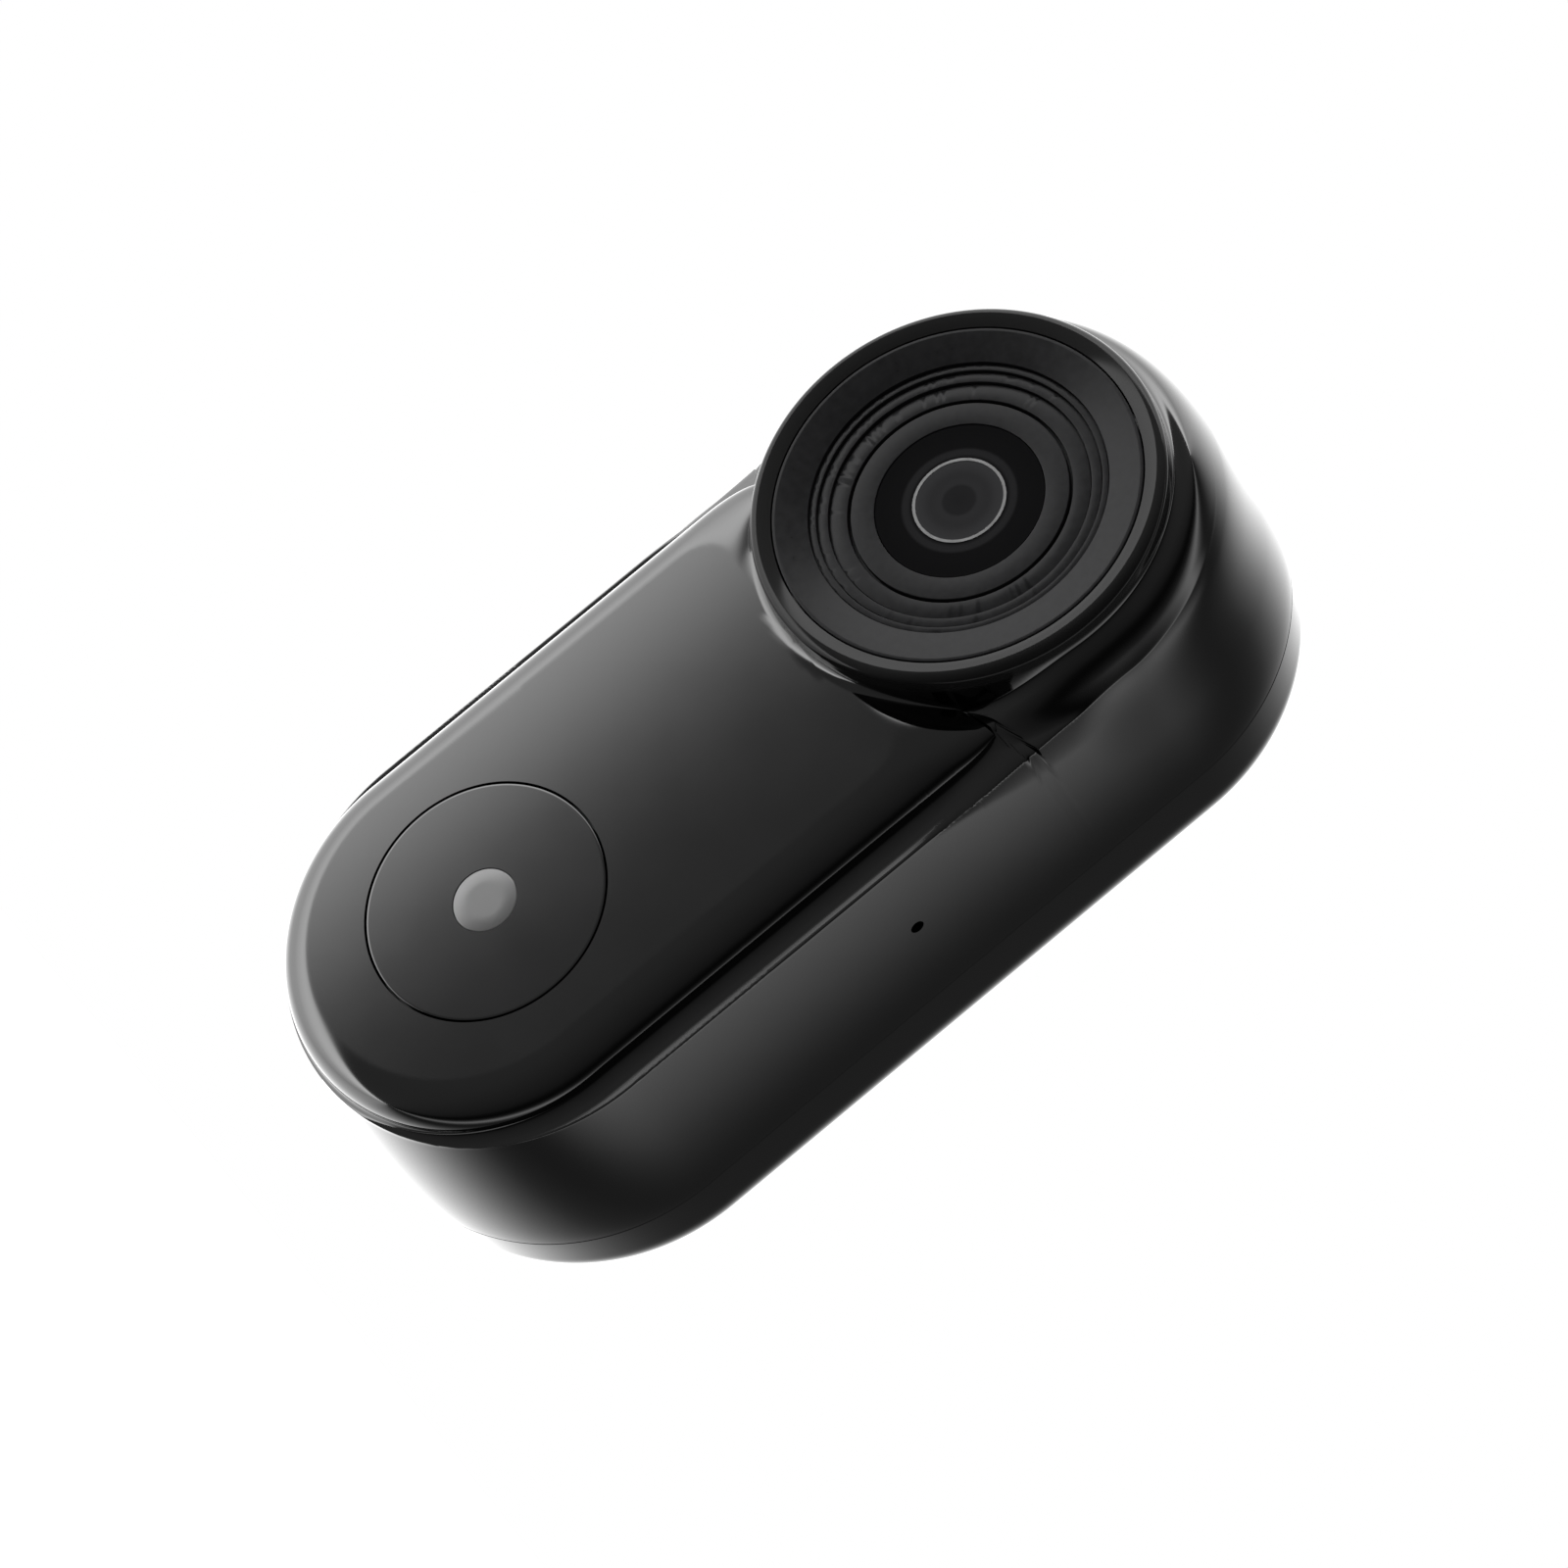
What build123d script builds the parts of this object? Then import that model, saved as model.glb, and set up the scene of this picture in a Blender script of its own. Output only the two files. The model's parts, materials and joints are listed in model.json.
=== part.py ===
from build123d import *
import math
import os

# Thumb-sized action camera, millimetres.
# It is modelled lying on its magnetic back, with depth along the working Z, and stood up on export:
# +Z along the body towards the lens end, the lens looking towards -Y, the back plane at Y = 0.
# Every depth is a distance forward of the back plane.

BODY_LENGTH = 53.5
BODY_WIDTH = 23.5
HALF_WIDTH = BODY_WIDTH / 2
ARC_CENTRE = (BODY_LENGTH - BODY_WIDTH) / 2
WALL = 1.2
INNER_HALF_WIDTH = HALF_WIDTH - WALL
LENS_Y = 13.55
BUTTON_Y = -14.5

# Shells: the body is widest at the seam and draws in towards the front, most of all at the lens end
BACK_FLOOR = 1.2
BACK_EDGE_RADIUS = 3.6
SEAM_DEPTH = 6.1
SEAM_GAP = 0.08
DRAFT_DEPTHS = [SEAM_DEPTH + SEAM_GAP, 9.5, 12.9, 16.3]
DRAFT_TOTAL = 0.88
DRAFT_POWER = 1.44
LENS_END_DRAFT = 1.0
BUTTON_END_DRAFT = 0.4
SHOULDER_DEPTH = 16.5
SHOULDER_RADIUS = 0.15
LEDGE_INSIDE_DEPTH = 15.3
PILLOW_DEPTH = 18.95
PILLOW_HALF_WIDTH = 9.7
PILLOW_END_Y = -15.2
PILLOW_EDGE_RADIUS = 1.8
PILLOW_INSIDE_DEPTH = 17.75
PILLOW_INSIDE_HALF_WIDTH = 8.2
LIP_DEPTH = 20.7
LIP_RADIUS = 9.75
LIP_EDGE_RADIUS = 0.5
LIP_SLOPE_DEPTH = 20.45
LIP_SLOPE_RADIUS = 9.15
FLARE = [(9.75, 19.15), (10.55, 18.6), (11.05, 17.6), (11.28, 16.2), (11.38, 14.5), (11.4, 11.0)]

# Lens guard and the socket it screws into
GUARD_BORE_RADIUS = 8.73
GUARD_RIM_RADIUS = 8.67
GUARD_RIM_DEPTH = 20.4
GUARD_SEAT_DEPTH = 18.9
GUARD_FLANGE_DEPTH = 18.95
CONE_OUTER_RADIUS = 8.51
STEP_RADII = [7.05, 6.70, 6.17]
STEP_TOP_DEPTH = 20.05
STEP_DROP = 0.15
GUARD_FLOOR_DEPTH = STEP_TOP_DEPTH - STEP_DROP * len(STEP_RADII)
SPIGOT_RADIUS = 7.4
SPIGOT_INSIDE_RADIUS = 6.35
SPIGOT_END_DEPTH = 15.45
THREAD_RING_RADIUS = 8.1
THREAD_RING_BORE_RADIUS = 7.45
THREAD_RING_TOP_DEPTH = 18.3
THREAD_PITCH = 0.6
THREAD_GROOVE = 0.15
GLASS_LEDGE_DEPTH = 18.6
GLASS_LEDGE_RADIUS = 4.5
GLASS_FLANGE_RADIUS = 4.9
GLASS_FLANGE_DEPTH = 19.0
GLASS_RADIUS = 3.97
GLASS_FACE_DEPTH = 19.56
RETAINER_RADIUS = 5.29
RETAINER_FACE_RADIUS = 5.13
RETAINER_STEP_DEPTH = 19.2
RETAINER_BORE_RADIUS = 4.01
WINDOW_RING_OUTER = 2.21
WINDOW_RING_INNER = 2.07
WINDOW_RING_SEAT = 0.06
WINDOW_RING_RISE = 0.02
SEAL_SECTION_RADIUS = 0.27
SEAL_CENTRE_RADIUS = 7.75
SEAL_DEPTH = 18.6

# Lens, its holder and the sensor
BARREL_RADIUS = 4.6
BARREL_BORE_RADIUS = 4.0
BARREL_TOP = 18.1
BARREL_BOTTOM = 8.9
SPACER_WALL = 0.6
RETAINING_RING_BORE = 3.3
FRONT_RIM_TOP = 17.7
FRONT_RIM_BOTTOM = 16.9
FRONT_DOME_RADIUS = 3.25
FRONT_DOME_RISE = 0.42
SECOND_ELEMENT = (14.6, 15.6)
APERTURE_STOP = (14.0, 14.2)
APERTURE_RADIUS = 0.9
THIRD_ELEMENT = (12.3, 13.3)
FOURTH_ELEMENT = (10.0, 11.1)
HOLDER_RADIUS = 6.9
HOLDER_FLANGE_RADIUS = 9.15
HOLDER_FLANGE_BOTTOM = 13.7
HOLDER_BOTTOM = 6.6
SENSOR_POCKET = (8.4, 7.4)
FILTER_SIZE = (8.0, 7.0)
FILTER_DEPTH = (8.3, 8.6)
SENSOR_SIZE = (8.0, 7.0)
SENSOR_DEPTH = (6.6, 7.5)
SENSOR_BOARD_SIDE = 13.2
SENSOR_BOARD_DEPTH = (6.0, 6.6)
FOAM_SIDE = 9.0
FOAM_SHIFT = 1.2

# Middle frame and fasteners
FRAME_GAP = 0.15
FRAME_BOTTOM = 14.5
FRAME_LENS_HOLE_RADIUS = 7.8
FRAME_SCREW_X = 8.7
FRAME_SCREW_YS = [-12.0, 1.0]
FRAME_SCREW_RADIUS = 0.4
FRAME_SCREW_TIP = 16.2
FRAME_SCREW_HEAD_RADIUS = 0.7
FRAME_SCREW_HEAD = 0.5
FRAME_FLEX_SLOT = (4.8, (-21.9, -20.8))
FRAME_WINDOW_X = (2.0, 6.5)
FRAME_WINDOW_Y = (-5.5, 2.5)
LENS_SCREW_CIRCLE = 8.4
LENS_SCREW_RADIUS = 0.4
LENS_SCREW_HEAD_RADIUS = 0.7
LENS_SCREW_HEAD = 0.4
SOCKET_WIDTH = 0.5
SOCKET_DEPTH = 0.25

# Shutter button
BUTTON_RADIUS = 5.81
BUTTON_HOLE_RADIUS = 5.92
BUTTON_EDGE = 0.06
BUTTON_FLANGE_RADIUS = 6.7
BUTTON_FLANGE_DEPTH = 17.65
BUTTON_REAR_DEPTH = 17.05
BUTTON_HOLLOW_RADIUS = 4.75
BUTTON_HOLLOW_DEPTH = 17.85
BUTTON_BOSS_RADIUS = 2.2
NUB_OFFSET = 3.35
NUB_RADIUS = 0.9
NUB_END_DEPTH = 16.35
WINDOW_RADIUS = 1.56
WINDOW_PIPE_RADIUS = 1.2
WINDOW_STEP_DEPTH = 18.05
WINDOW_END_DEPTH = 16.75
SEAL_OUTER_RADIUS = 7.6
SEAL_INNER_RADIUS = 6.8
SEAL_BOTTOM = 17.15
SWITCH_BOARD_RADIUS = 6.2
SWITCH_BOARD_DEPTH = (LEDGE_INSIDE_DEPTH, LEDGE_INSIDE_DEPTH + 0.4)
DOME_RADIUS = 1.7
DOME_RISE = 0.6
DOME_THICKNESS = 0.12
LIGHT_SIDE = 1.6
LIGHT_DEPTH = (15.7, 16.3)

# Ribbons: the switch ribbon round the board's end, the sensor and battery ribbons behind the lens
RIBBON = 0.15
SWITCH_RIBBON_HALF = 2.0
SWITCH_RIBBON_Y = -21.3
SWITCH_RIBBON_ENDS = (-20.7, -19.6)
SENSOR_RIBBON_HALF = 4.0
SENSOR_RIBBON_YS = (-0.3, 5.8, 6.95)
BATTERY_RIBBON_X = (-7.5, -4.5)
BATTERY_RIBBON_YS = (-0.3, 4.6)
BATTERY_RIBBON_LOW = 6.0

# Boards, battery and what is on them
BOARD_HALF_WIDTH = 8.4
BOARD_ENDS = (-21.0, 1.0)
BOARD_DEPTH = (10.2, 11.0)
BOARD_EDGE_GAP = 0.6
CAN_SIZE = (13.0, 9.6)
CAN_Y = -6.0
CAN_DEPTH = 12.8
CAN_SHEET = 0.2
CONNECTOR_HEIGHT = 0.9
NEAR_CONNECTOR = ((-7.8, -4.2), (-1.1, -0.35))
FAR_CONNECTOR = ((-2.2, 2.2), (-19.4, -17.9))
PROCESSOR = ((6.5, 6.5), 1.0, -2.6, CAN_Y)
MEMORY_CHIP = ((4.2, 6.5), 0.9, 3.6, CAN_Y)
POWER_CHIP = ((3.2, 3.2), 0.7, -5.2, -13.8)
MOTION_SENSOR = ((2.5, 3.0), 0.9, 0, -14.0)
WIRELESS_MODULE = ((4.4, 4.0), 1.2, 5.0, -13.8)
THERMAL_PAD_SIDE = 8.0
SPREADER_DEPTH = (9.5, 9.8)
SPREADER_HALF_WIDTH = 8.0
SPREADER_ENDS = (-20.6, -0.6)
SPREADER_EDGE_GAP = 0.8
BATTERY_HALF_WIDTH = 7.9
BATTERY_ENDS = (-20.0, 3.4)
BATTERY_DEPTH = (3.3, 9.3)
BATTERY_EDGE_RADIUS = 1.2
BATTERY_BOARD_HALF = 7.0
BATTERY_BOARD_END = 4.6
BATTERY_BOARD_DEPTH = (4.0, 8.6)

# Vibration motor, along the working X
MOTOR_Y = 3.5
MOTOR_DEPTH = 12.2
MOTOR_RADIUS = 1.8
MOTOR_ENDS = (-3.0, 4.0)
MOTOR_BORE_DEPTH = 3.0
MOTOR_SHAFT_RADIUS = 0.4
MOTOR_SHAFT_CLEARANCE = 0.05
MOTOR_SHAFT_INSIDE = 2.8
ROTOR_ENDS = (4.5, 6.6)
ROTOR_RADIUS = 1.6
ROTOR_CUT = 0.2

# Microphone behind the right side wall, on a flat pad inside it
MIC_Y = -0.2
MIC_DEPTH = 11.85
MIC_HOLE_RADIUS = 0.34
MIC_PAD_X = 9.85
MIC_PAD_HALF = 1.5
MIC_MESH_RADIUS = 0.9
MIC_MESH_SHEET = 0.1
MIC_GASKET_X = (9.35, MIC_PAD_X - MIC_MESH_SHEET)
MIC_GASKET_HALF = 1.2
MIC_CASE_X = (8.75, 9.35)
MIC_CASE_HALF = 1.4
MIC_RIBBON_X = 7.6

# Aerial strip inside the left wall
AERIAL_X = (-10.25, -10.05)
AERIAL_ENDS = (-10.0, 6.0)
AERIAL_DEPTH = (7.0, 9.6)

# Magnetic back and charging contacts
MAGNET_HALF_WIDTH = 5.5
MAGNET_DEPTH = (BACK_FLOOR, 2.85)
MAGNET_EDGE = 0.2
UPPER_MAGNET_ENDS = (11.0, 19.5)
LOWER_MAGNET_ENDS = (-20.5, -14.0)
CONTACT_Y = -9.5
CONTACT_OPENING = (9.0, 3.0)
CONTACT_GAP = 0.1
CONTACT_FACE_DEPTH = 0.15
CONTACT_FLANGE = (10.4, 4.4)
CONTACT_FLANGE_TOP = 2.0
CONTACT_PAD_RADIUS = 0.55
CONTACT_PAD_PITCH = 1.7
CONTACT_PADS = 5
CONTACT_PAD_RISE = 0.05
CONTACT_RIBBON_X = (-4.6, 8.2, 9.0)
CONTACT_RIBBON_HALF = 1.5


def pill(half_width, low, high):
    """A stadium concentric with the body's outline."""
    outline = SlotCenterToCenter(2 * ARC_CENTRE, 2 * half_width, rotation=90)
    return extrude(Pos(0, 0, low) * outline, high - low)


def pill_ring(outer, inner, low, high):
    """A band that follows the body's outline."""
    return pill(outer, low, high) - pill(inner, low, high)


def disc(radius, low, high, x=0, y=0):
    """A round plate or rod along the depth."""
    return Pos(x, y, (low + high) / 2) * Cylinder(radius, high - low)


def ring(outer, inner, low, high, x=0, y=0):
    """A round ring along the depth."""
    return disc(outer, low, high, x, y) - disc(inner, low, high, x, y)


def block(x_ends, y_ends, ends):
    """A box between two ends along each direction."""
    sizes = [high - low for low, high in (x_ends, y_ends, ends)]
    middle = [(high + low) / 2 for low, high in (x_ends, y_ends, ends)]
    return Pos(*middle) * Box(*sizes)


def plate(size, ends, x=0, y=0):
    """A box of a given width and height centred on a point."""
    return Pos(x, y, (ends[0] + ends[1]) / 2) * Box(size[0], size[1], ends[1] - ends[0])


def rod_along_x(radius, ends, y, depth):
    """A round rod across the body."""
    rod = Rot(0, 90, 0) * Cylinder(radius, ends[1] - ends[0])
    return Pos((ends[0] + ends[1]) / 2, y, depth) * rod


def turned(profile):
    """A solid turned about the lens axis from (radius, depth) points."""
    face = Plane.XZ * make_face(Polyline(*profile, close=True))
    return Pos(0, LENS_Y, 0) * revolve(face, Axis.Z)


def front_edges(solid):
    """The edges of a solid's foremost face."""
    return solid.edges().group_by(Axis.Z)[-1]


def back_edges(solid):
    """The edges of a solid's rearmost face."""
    return solid.edges().group_by(Axis.Z)[0]


def barrel_flare():
    """The flare that carries the body's round end up to the lens lip."""
    curve = Spline(*FLARE)
    inner = THREAD_RING_RADIUS
    closing = Polyline(FLARE[-1], (inner, LEDGE_INSIDE_DEPTH), (inner, FLARE[0][1]), FLARE[0])
    face = Plane.XZ * make_face([curve, closing])
    return Pos(0, LENS_Y, 0) * revolve(face, Axis.Z)


def drafted_body(inset, low, high):
    """The drafted front half of the body, a given distance inside its outer surface."""
    sections = []
    for depth in DRAFT_DEPTHS:
        t = ((depth - DRAFT_DEPTHS[0]) / (DRAFT_DEPTHS[-1] - DRAFT_DEPTHS[0])) ** DRAFT_POWER
        radius = HALF_WIDTH - DRAFT_TOTAL * t - inset
        top = ARC_CENTRE - LENS_END_DRAFT * t
        bottom = BUTTON_END_DRAFT * t - ARC_CENTRE
        slot = SlotCenterToCenter(top - bottom, 2 * radius, rotation=90)
        sections.append(Pos(0, (top + bottom) / 2, depth) * slot)
    whole = loft(sections)
    return whole & Pos(0, 0, (low + high) / 2) * Box(BODY_LENGTH, 2 * BODY_LENGTH, high - low)


def shoulder():
    """The body's front edge above the drafted wall, rounded into the ledge round the pillow."""
    radius = HALF_WIDTH - DRAFT_TOTAL
    top = ARC_CENTRE - LENS_END_DRAFT
    bottom = BUTTON_END_DRAFT - ARC_CENTRE
    slot = SlotCenterToCenter(top - bottom, 2 * radius, rotation=90)
    base = DRAFT_DEPTHS[-1]
    rim = extrude(Pos(0, (top + bottom) / 2, base) * slot, SHOULDER_DEPTH - base)
    return fillet(front_edges(rim), SHOULDER_RADIUS)


def pillow(half_width, low, high):
    """The raised oval of the front face, run under the lens barrel at its upper end."""
    slot = SlotCenterToCenter(LENS_Y - PILLOW_END_Y, 2 * half_width, rotation=90)
    return extrude(Pos(0, (LENS_Y + PILLOW_END_Y) / 2, low) * slot, high - low)


def around_mic(x_ends, half):
    """A square block round the microphone's axis."""
    return block(x_ends, (MIC_Y - half, MIC_Y + half), (MIC_DEPTH - half, MIC_DEPTH + half))


def mic_pad():
    """Flat pad inside the right wall for the microphone."""
    return around_mic((MIC_PAD_X, INNER_HALF_WIDTH), MIC_PAD_HALF)


def lip_slope():
    """The cone that slopes the lip's face down to the rim of the lens guard."""
    height = LIP_DEPTH - LIP_SLOPE_DEPTH
    cone = Cone(GUARD_BORE_RADIUS, LIP_SLOPE_RADIUS, height)
    return Pos(0, LENS_Y, LIP_SLOPE_DEPTH + height / 2) * cone


def front_shell():
    """Front shell: drafted wall, shoulder, pillow, flare and lens lip, open at the back."""
    low = DRAFT_DEPTHS[0]
    face = pillow(PILLOW_HALF_WIDTH, LEDGE_INSIDE_DEPTH, PILLOW_DEPTH)
    face = fillet(front_edges(face), PILLOW_EDGE_RADIUS)
    lip = disc(LIP_RADIUS, LEDGE_INSIDE_DEPTH, LIP_DEPTH, 0, LENS_Y)
    lip = fillet(front_edges(lip), LIP_EDGE_RADIUS)
    shell = drafted_body(0, low, DRAFT_DEPTHS[-1]) + shoulder() + face + barrel_flare() + lip
    shell -= drafted_body(WALL, low, LEDGE_INSIDE_DEPTH)
    shell += mic_pad()
    hollow = pillow(PILLOW_INSIDE_HALF_WIDTH, LEDGE_INSIDE_DEPTH, PILLOW_INSIDE_DEPTH)
    shell -= hollow - disc(LIP_RADIUS, LEDGE_INSIDE_DEPTH, PILLOW_INSIDE_DEPTH, 0, LENS_Y)
    shell -= disc(GUARD_BORE_RADIUS, GUARD_SEAT_DEPTH, LIP_DEPTH, 0, LENS_Y)
    shell -= lip_slope()
    shell -= disc(THREAD_RING_RADIUS, LEDGE_INSIDE_DEPTH, GUARD_SEAT_DEPTH, 0, LENS_Y)
    shell -= disc(BUTTON_HOLE_RADIUS, PILLOW_INSIDE_DEPTH, PILLOW_DEPTH, 0, BUTTON_Y)
    shell -= rod_along_x(MIC_HOLE_RADIUS, (MIC_PAD_X, HALF_WIDTH), MIC_Y, MIC_DEPTH)
    for x, y in frame_screw_places():
        shell -= disc(FRAME_SCREW_RADIUS, LEDGE_INSIDE_DEPTH, FRAME_SCREW_TIP, x, y)
    return shell


def gasket_groove(low, high):
    """The band the shell gasket fills."""
    middle = (HALF_WIDTH + INNER_HALF_WIDTH) / 2
    half = WALL / 6
    return pill_ring(middle + half, middle - half, low, high)


def rear_shell():
    """Rear cover with a rounded back edge, a gasket groove and the contact opening."""
    shell = pill(HALF_WIDTH, 0, SEAM_DEPTH)
    shell = fillet(back_edges(shell), BACK_EDGE_RADIUS)
    hollow = pill(INNER_HALF_WIDTH, BACK_FLOOR, SEAM_DEPTH)
    shell -= fillet(back_edges(hollow), BACK_EDGE_RADIUS - BACK_FLOOR)
    shell -= gasket_groove(SEAM_DEPTH - WALL / 3, SEAM_DEPTH)
    opening = plate(CONTACT_OPENING, (0, BACK_FLOOR), 0, CONTACT_Y)
    shell -= fillet(opening.edges().filter_by(Axis.Z), CONTACT_OPENING[1] / 3)
    return shell


def shell_gasket():
    """Gasket squeezed between the two shells."""
    return gasket_groove(SEAM_DEPTH - WALL / 3, SEAM_DEPTH + SEAM_GAP)


def guard_thread_ring():
    """Ring bonded in the barrel that the lens guard screws into."""
    depths = (LEDGE_INSIDE_DEPTH, THREAD_RING_TOP_DEPTH)
    return ring(THREAD_RING_RADIUS, THREAD_RING_BORE_RADIUS, *depths, 0, LENS_Y)


def lens_guard_ring():
    """Lens guard: rim, inward cone, three fine steps, flat floor and threaded spigot."""
    profile = [(GUARD_RIM_RADIUS, GUARD_FLANGE_DEPTH), (GUARD_RIM_RADIUS, GUARD_RIM_DEPTH)]
    profile.append((CONE_OUTER_RADIUS, GUARD_RIM_DEPTH))
    depth = STEP_TOP_DEPTH
    for radius in STEP_RADII:
        profile.append((radius, depth))
        depth -= STEP_DROP
        profile.append((radius, depth))
    profile.append((RETAINER_RADIUS, GUARD_FLOOR_DEPTH))
    profile.append((RETAINER_RADIUS, GLASS_FLANGE_DEPTH))
    profile.append((GLASS_FLANGE_RADIUS, GLASS_FLANGE_DEPTH))
    profile.append((GLASS_FLANGE_RADIUS, GLASS_LEDGE_DEPTH))
    profile.append((GLASS_LEDGE_RADIUS, GLASS_LEDGE_DEPTH))
    profile.append((GLASS_LEDGE_RADIUS, THREAD_RING_TOP_DEPTH))
    profile.append((SPIGOT_INSIDE_RADIUS, THREAD_RING_TOP_DEPTH))
    profile.append((SPIGOT_INSIDE_RADIUS, SPIGOT_END_DEPTH))
    depth = SPIGOT_END_DEPTH
    root = SPIGOT_RADIUS - THREAD_GROOVE
    profile.append((root, depth))
    while depth + THREAD_PITCH < THREAD_RING_TOP_DEPTH:
        profile.append((SPIGOT_RADIUS, depth + THREAD_PITCH / 4))
        profile.append((SPIGOT_RADIUS, depth + THREAD_PITCH / 2))
        depth += THREAD_PITCH
        profile.append((root, depth))
    profile.append((SPIGOT_RADIUS, depth + THREAD_PITCH / 4))
    profile.append((SPIGOT_RADIUS, GUARD_FLANGE_DEPTH))
    return turned(profile)


def guard_retainer_ring():
    """Flat ring that holds the glass; the gap round its face is the dark groove."""
    bore = RETAINER_BORE_RADIUS
    foot = ring(RETAINER_RADIUS, bore, GLASS_FLANGE_DEPTH, RETAINER_STEP_DEPTH, 0, LENS_Y)
    face = ring(RETAINER_FACE_RADIUS, bore, RETAINER_STEP_DEPTH, GUARD_FLOOR_DEPTH, 0, LENS_Y)
    return foot + face


def guard_glass():
    """Flat protective glass with a flange under the retaining ring."""
    glass = disc(GLASS_RADIUS, GLASS_LEDGE_DEPTH, GLASS_FACE_DEPTH, 0, LENS_Y)
    glass += disc(GLASS_FLANGE_RADIUS, GLASS_LEDGE_DEPTH, GLASS_FLANGE_DEPTH, 0, LENS_Y)
    low = GLASS_FACE_DEPTH - WINDOW_RING_SEAT
    return glass - ring(WINDOW_RING_OUTER, WINDOW_RING_INNER, low, GLASS_FACE_DEPTH, 0, LENS_Y)


def guard_window_ring():
    """Fine bright ring set in the glass round the clear window."""
    low = GLASS_FACE_DEPTH - WINDOW_RING_SEAT
    high = GLASS_FACE_DEPTH + WINDOW_RING_RISE
    return ring(WINDOW_RING_OUTER, WINDOW_RING_INNER, low, high, 0, LENS_Y)


def guard_seal():
    """Seal ring under the guard's flange."""
    return Pos(0, LENS_Y, SEAL_DEPTH) * Torus(SEAL_CENTRE_RADIUS, SEAL_SECTION_RADIUS)


def lens_barrel():
    """Tube that holds the lens elements."""
    return ring(BARREL_RADIUS, BARREL_BORE_RADIUS, BARREL_BOTTOM, BARREL_TOP, 0, LENS_Y)


def lens_retainer_ring():
    """Ring that clamps the front element."""
    return ring(BARREL_BORE_RADIUS, RETAINING_RING_BORE, FRONT_RIM_TOP, BARREL_TOP, 0, LENS_Y)


def front_element():
    """Front element: a flat rim and a domed face."""
    rim = disc(BARREL_BORE_RADIUS, FRONT_RIM_BOTTOM, FRONT_RIM_TOP, 0, LENS_Y)
    sphere = (FRONT_DOME_RADIUS**2 + FRONT_DOME_RISE**2) / (2 * FRONT_DOME_RISE)
    ball = Pos(0, LENS_Y, FRONT_RIM_TOP + FRONT_DOME_RISE - sphere) * Sphere(sphere)
    dome = ball & disc(FRONT_DOME_RADIUS, FRONT_RIM_BOTTOM, FRONT_RIM_TOP + 1, 0, LENS_Y)
    return rim + dome


def flat_element(ends):
    """An inner element, its curved faces kept inside a plain disc."""
    return disc(BARREL_BORE_RADIUS, ends[0], ends[1], 0, LENS_Y)


def element_spacers():
    """Rings that space the elements along the barrel."""
    inner = BARREL_BORE_RADIUS - SPACER_WALL
    gaps = [(FOURTH_ELEMENT[1], THIRD_ELEMENT[0]), (THIRD_ELEMENT[1], APERTURE_STOP[0])]
    gaps.append((APERTURE_STOP[1], SECOND_ELEMENT[0]))
    gaps.append((SECOND_ELEMENT[1], FRONT_RIM_BOTTOM))
    return [ring(BARREL_BORE_RADIUS, inner, low, high, 0, LENS_Y) for low, high in gaps]


def aperture_stop():
    """Thin plate with the fixed aperture."""
    return ring(BARREL_BORE_RADIUS, APERTURE_RADIUS, APERTURE_STOP[0], APERTURE_STOP[1], 0, LENS_Y)


def lens_holder():
    """Housing between the lens barrel, the sensor and the middle frame."""
    holder = disc(HOLDER_RADIUS, HOLDER_BOTTOM, FRAME_BOTTOM, 0, LENS_Y)
    holder += disc(HOLDER_FLANGE_RADIUS, HOLDER_FLANGE_BOTTOM, FRAME_BOTTOM, 0, LENS_Y)
    holder -= disc(BARREL_RADIUS, BARREL_BOTTOM, FRAME_BOTTOM, 0, LENS_Y)
    holder -= plate(SENSOR_POCKET, (HOLDER_BOTTOM, BARREL_BOTTOM), 0, LENS_Y)
    for x, y in lens_screw_places():
        holder -= disc(LENS_SCREW_RADIUS, HOLDER_FLANGE_BOTTOM, FRAME_BOTTOM, x, y)
    return holder


def frame_screw_places():
    """Where the middle frame is screwed to the front shell."""
    return [(side * FRAME_SCREW_X, y) for side in (-1, 1) for y in FRAME_SCREW_YS]


def lens_screw_places():
    """Where the lens holder is screwed to the middle frame."""
    reach = LENS_SCREW_CIRCLE * math.sqrt(0.5)
    return [(sx * reach, LENS_Y + sy * reach) for sx in (-1, 1) for sy in (-1, 1)]


def screw(radius, head_radius, head, seat, tip, x, y):
    """A small screw with its head at the back and a square driver socket."""
    body = disc(head_radius, seat - head, seat, x, y)
    body = fillet(back_edges(body), head / 3)
    body += disc(radius, seat, tip, x, y)
    return body - plate((SOCKET_WIDTH, SOCKET_WIDTH), (seat - head, seat - head + SOCKET_DEPTH), x, y)


def frame_screws():
    """Screws of the middle frame."""
    sizes = (FRAME_SCREW_RADIUS, FRAME_SCREW_HEAD_RADIUS, FRAME_SCREW_HEAD)
    return [screw(*sizes, FRAME_BOTTOM, FRAME_SCREW_TIP, x, y) for x, y in frame_screw_places()]


def lens_screws():
    """Screws of the lens holder."""
    sizes = (LENS_SCREW_RADIUS, LENS_SCREW_HEAD_RADIUS, LENS_SCREW_HEAD)
    seat = HOLDER_FLANGE_BOTTOM
    return [screw(*sizes, seat, LEDGE_INSIDE_DEPTH, x, y) for x, y in lens_screw_places()]


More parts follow.
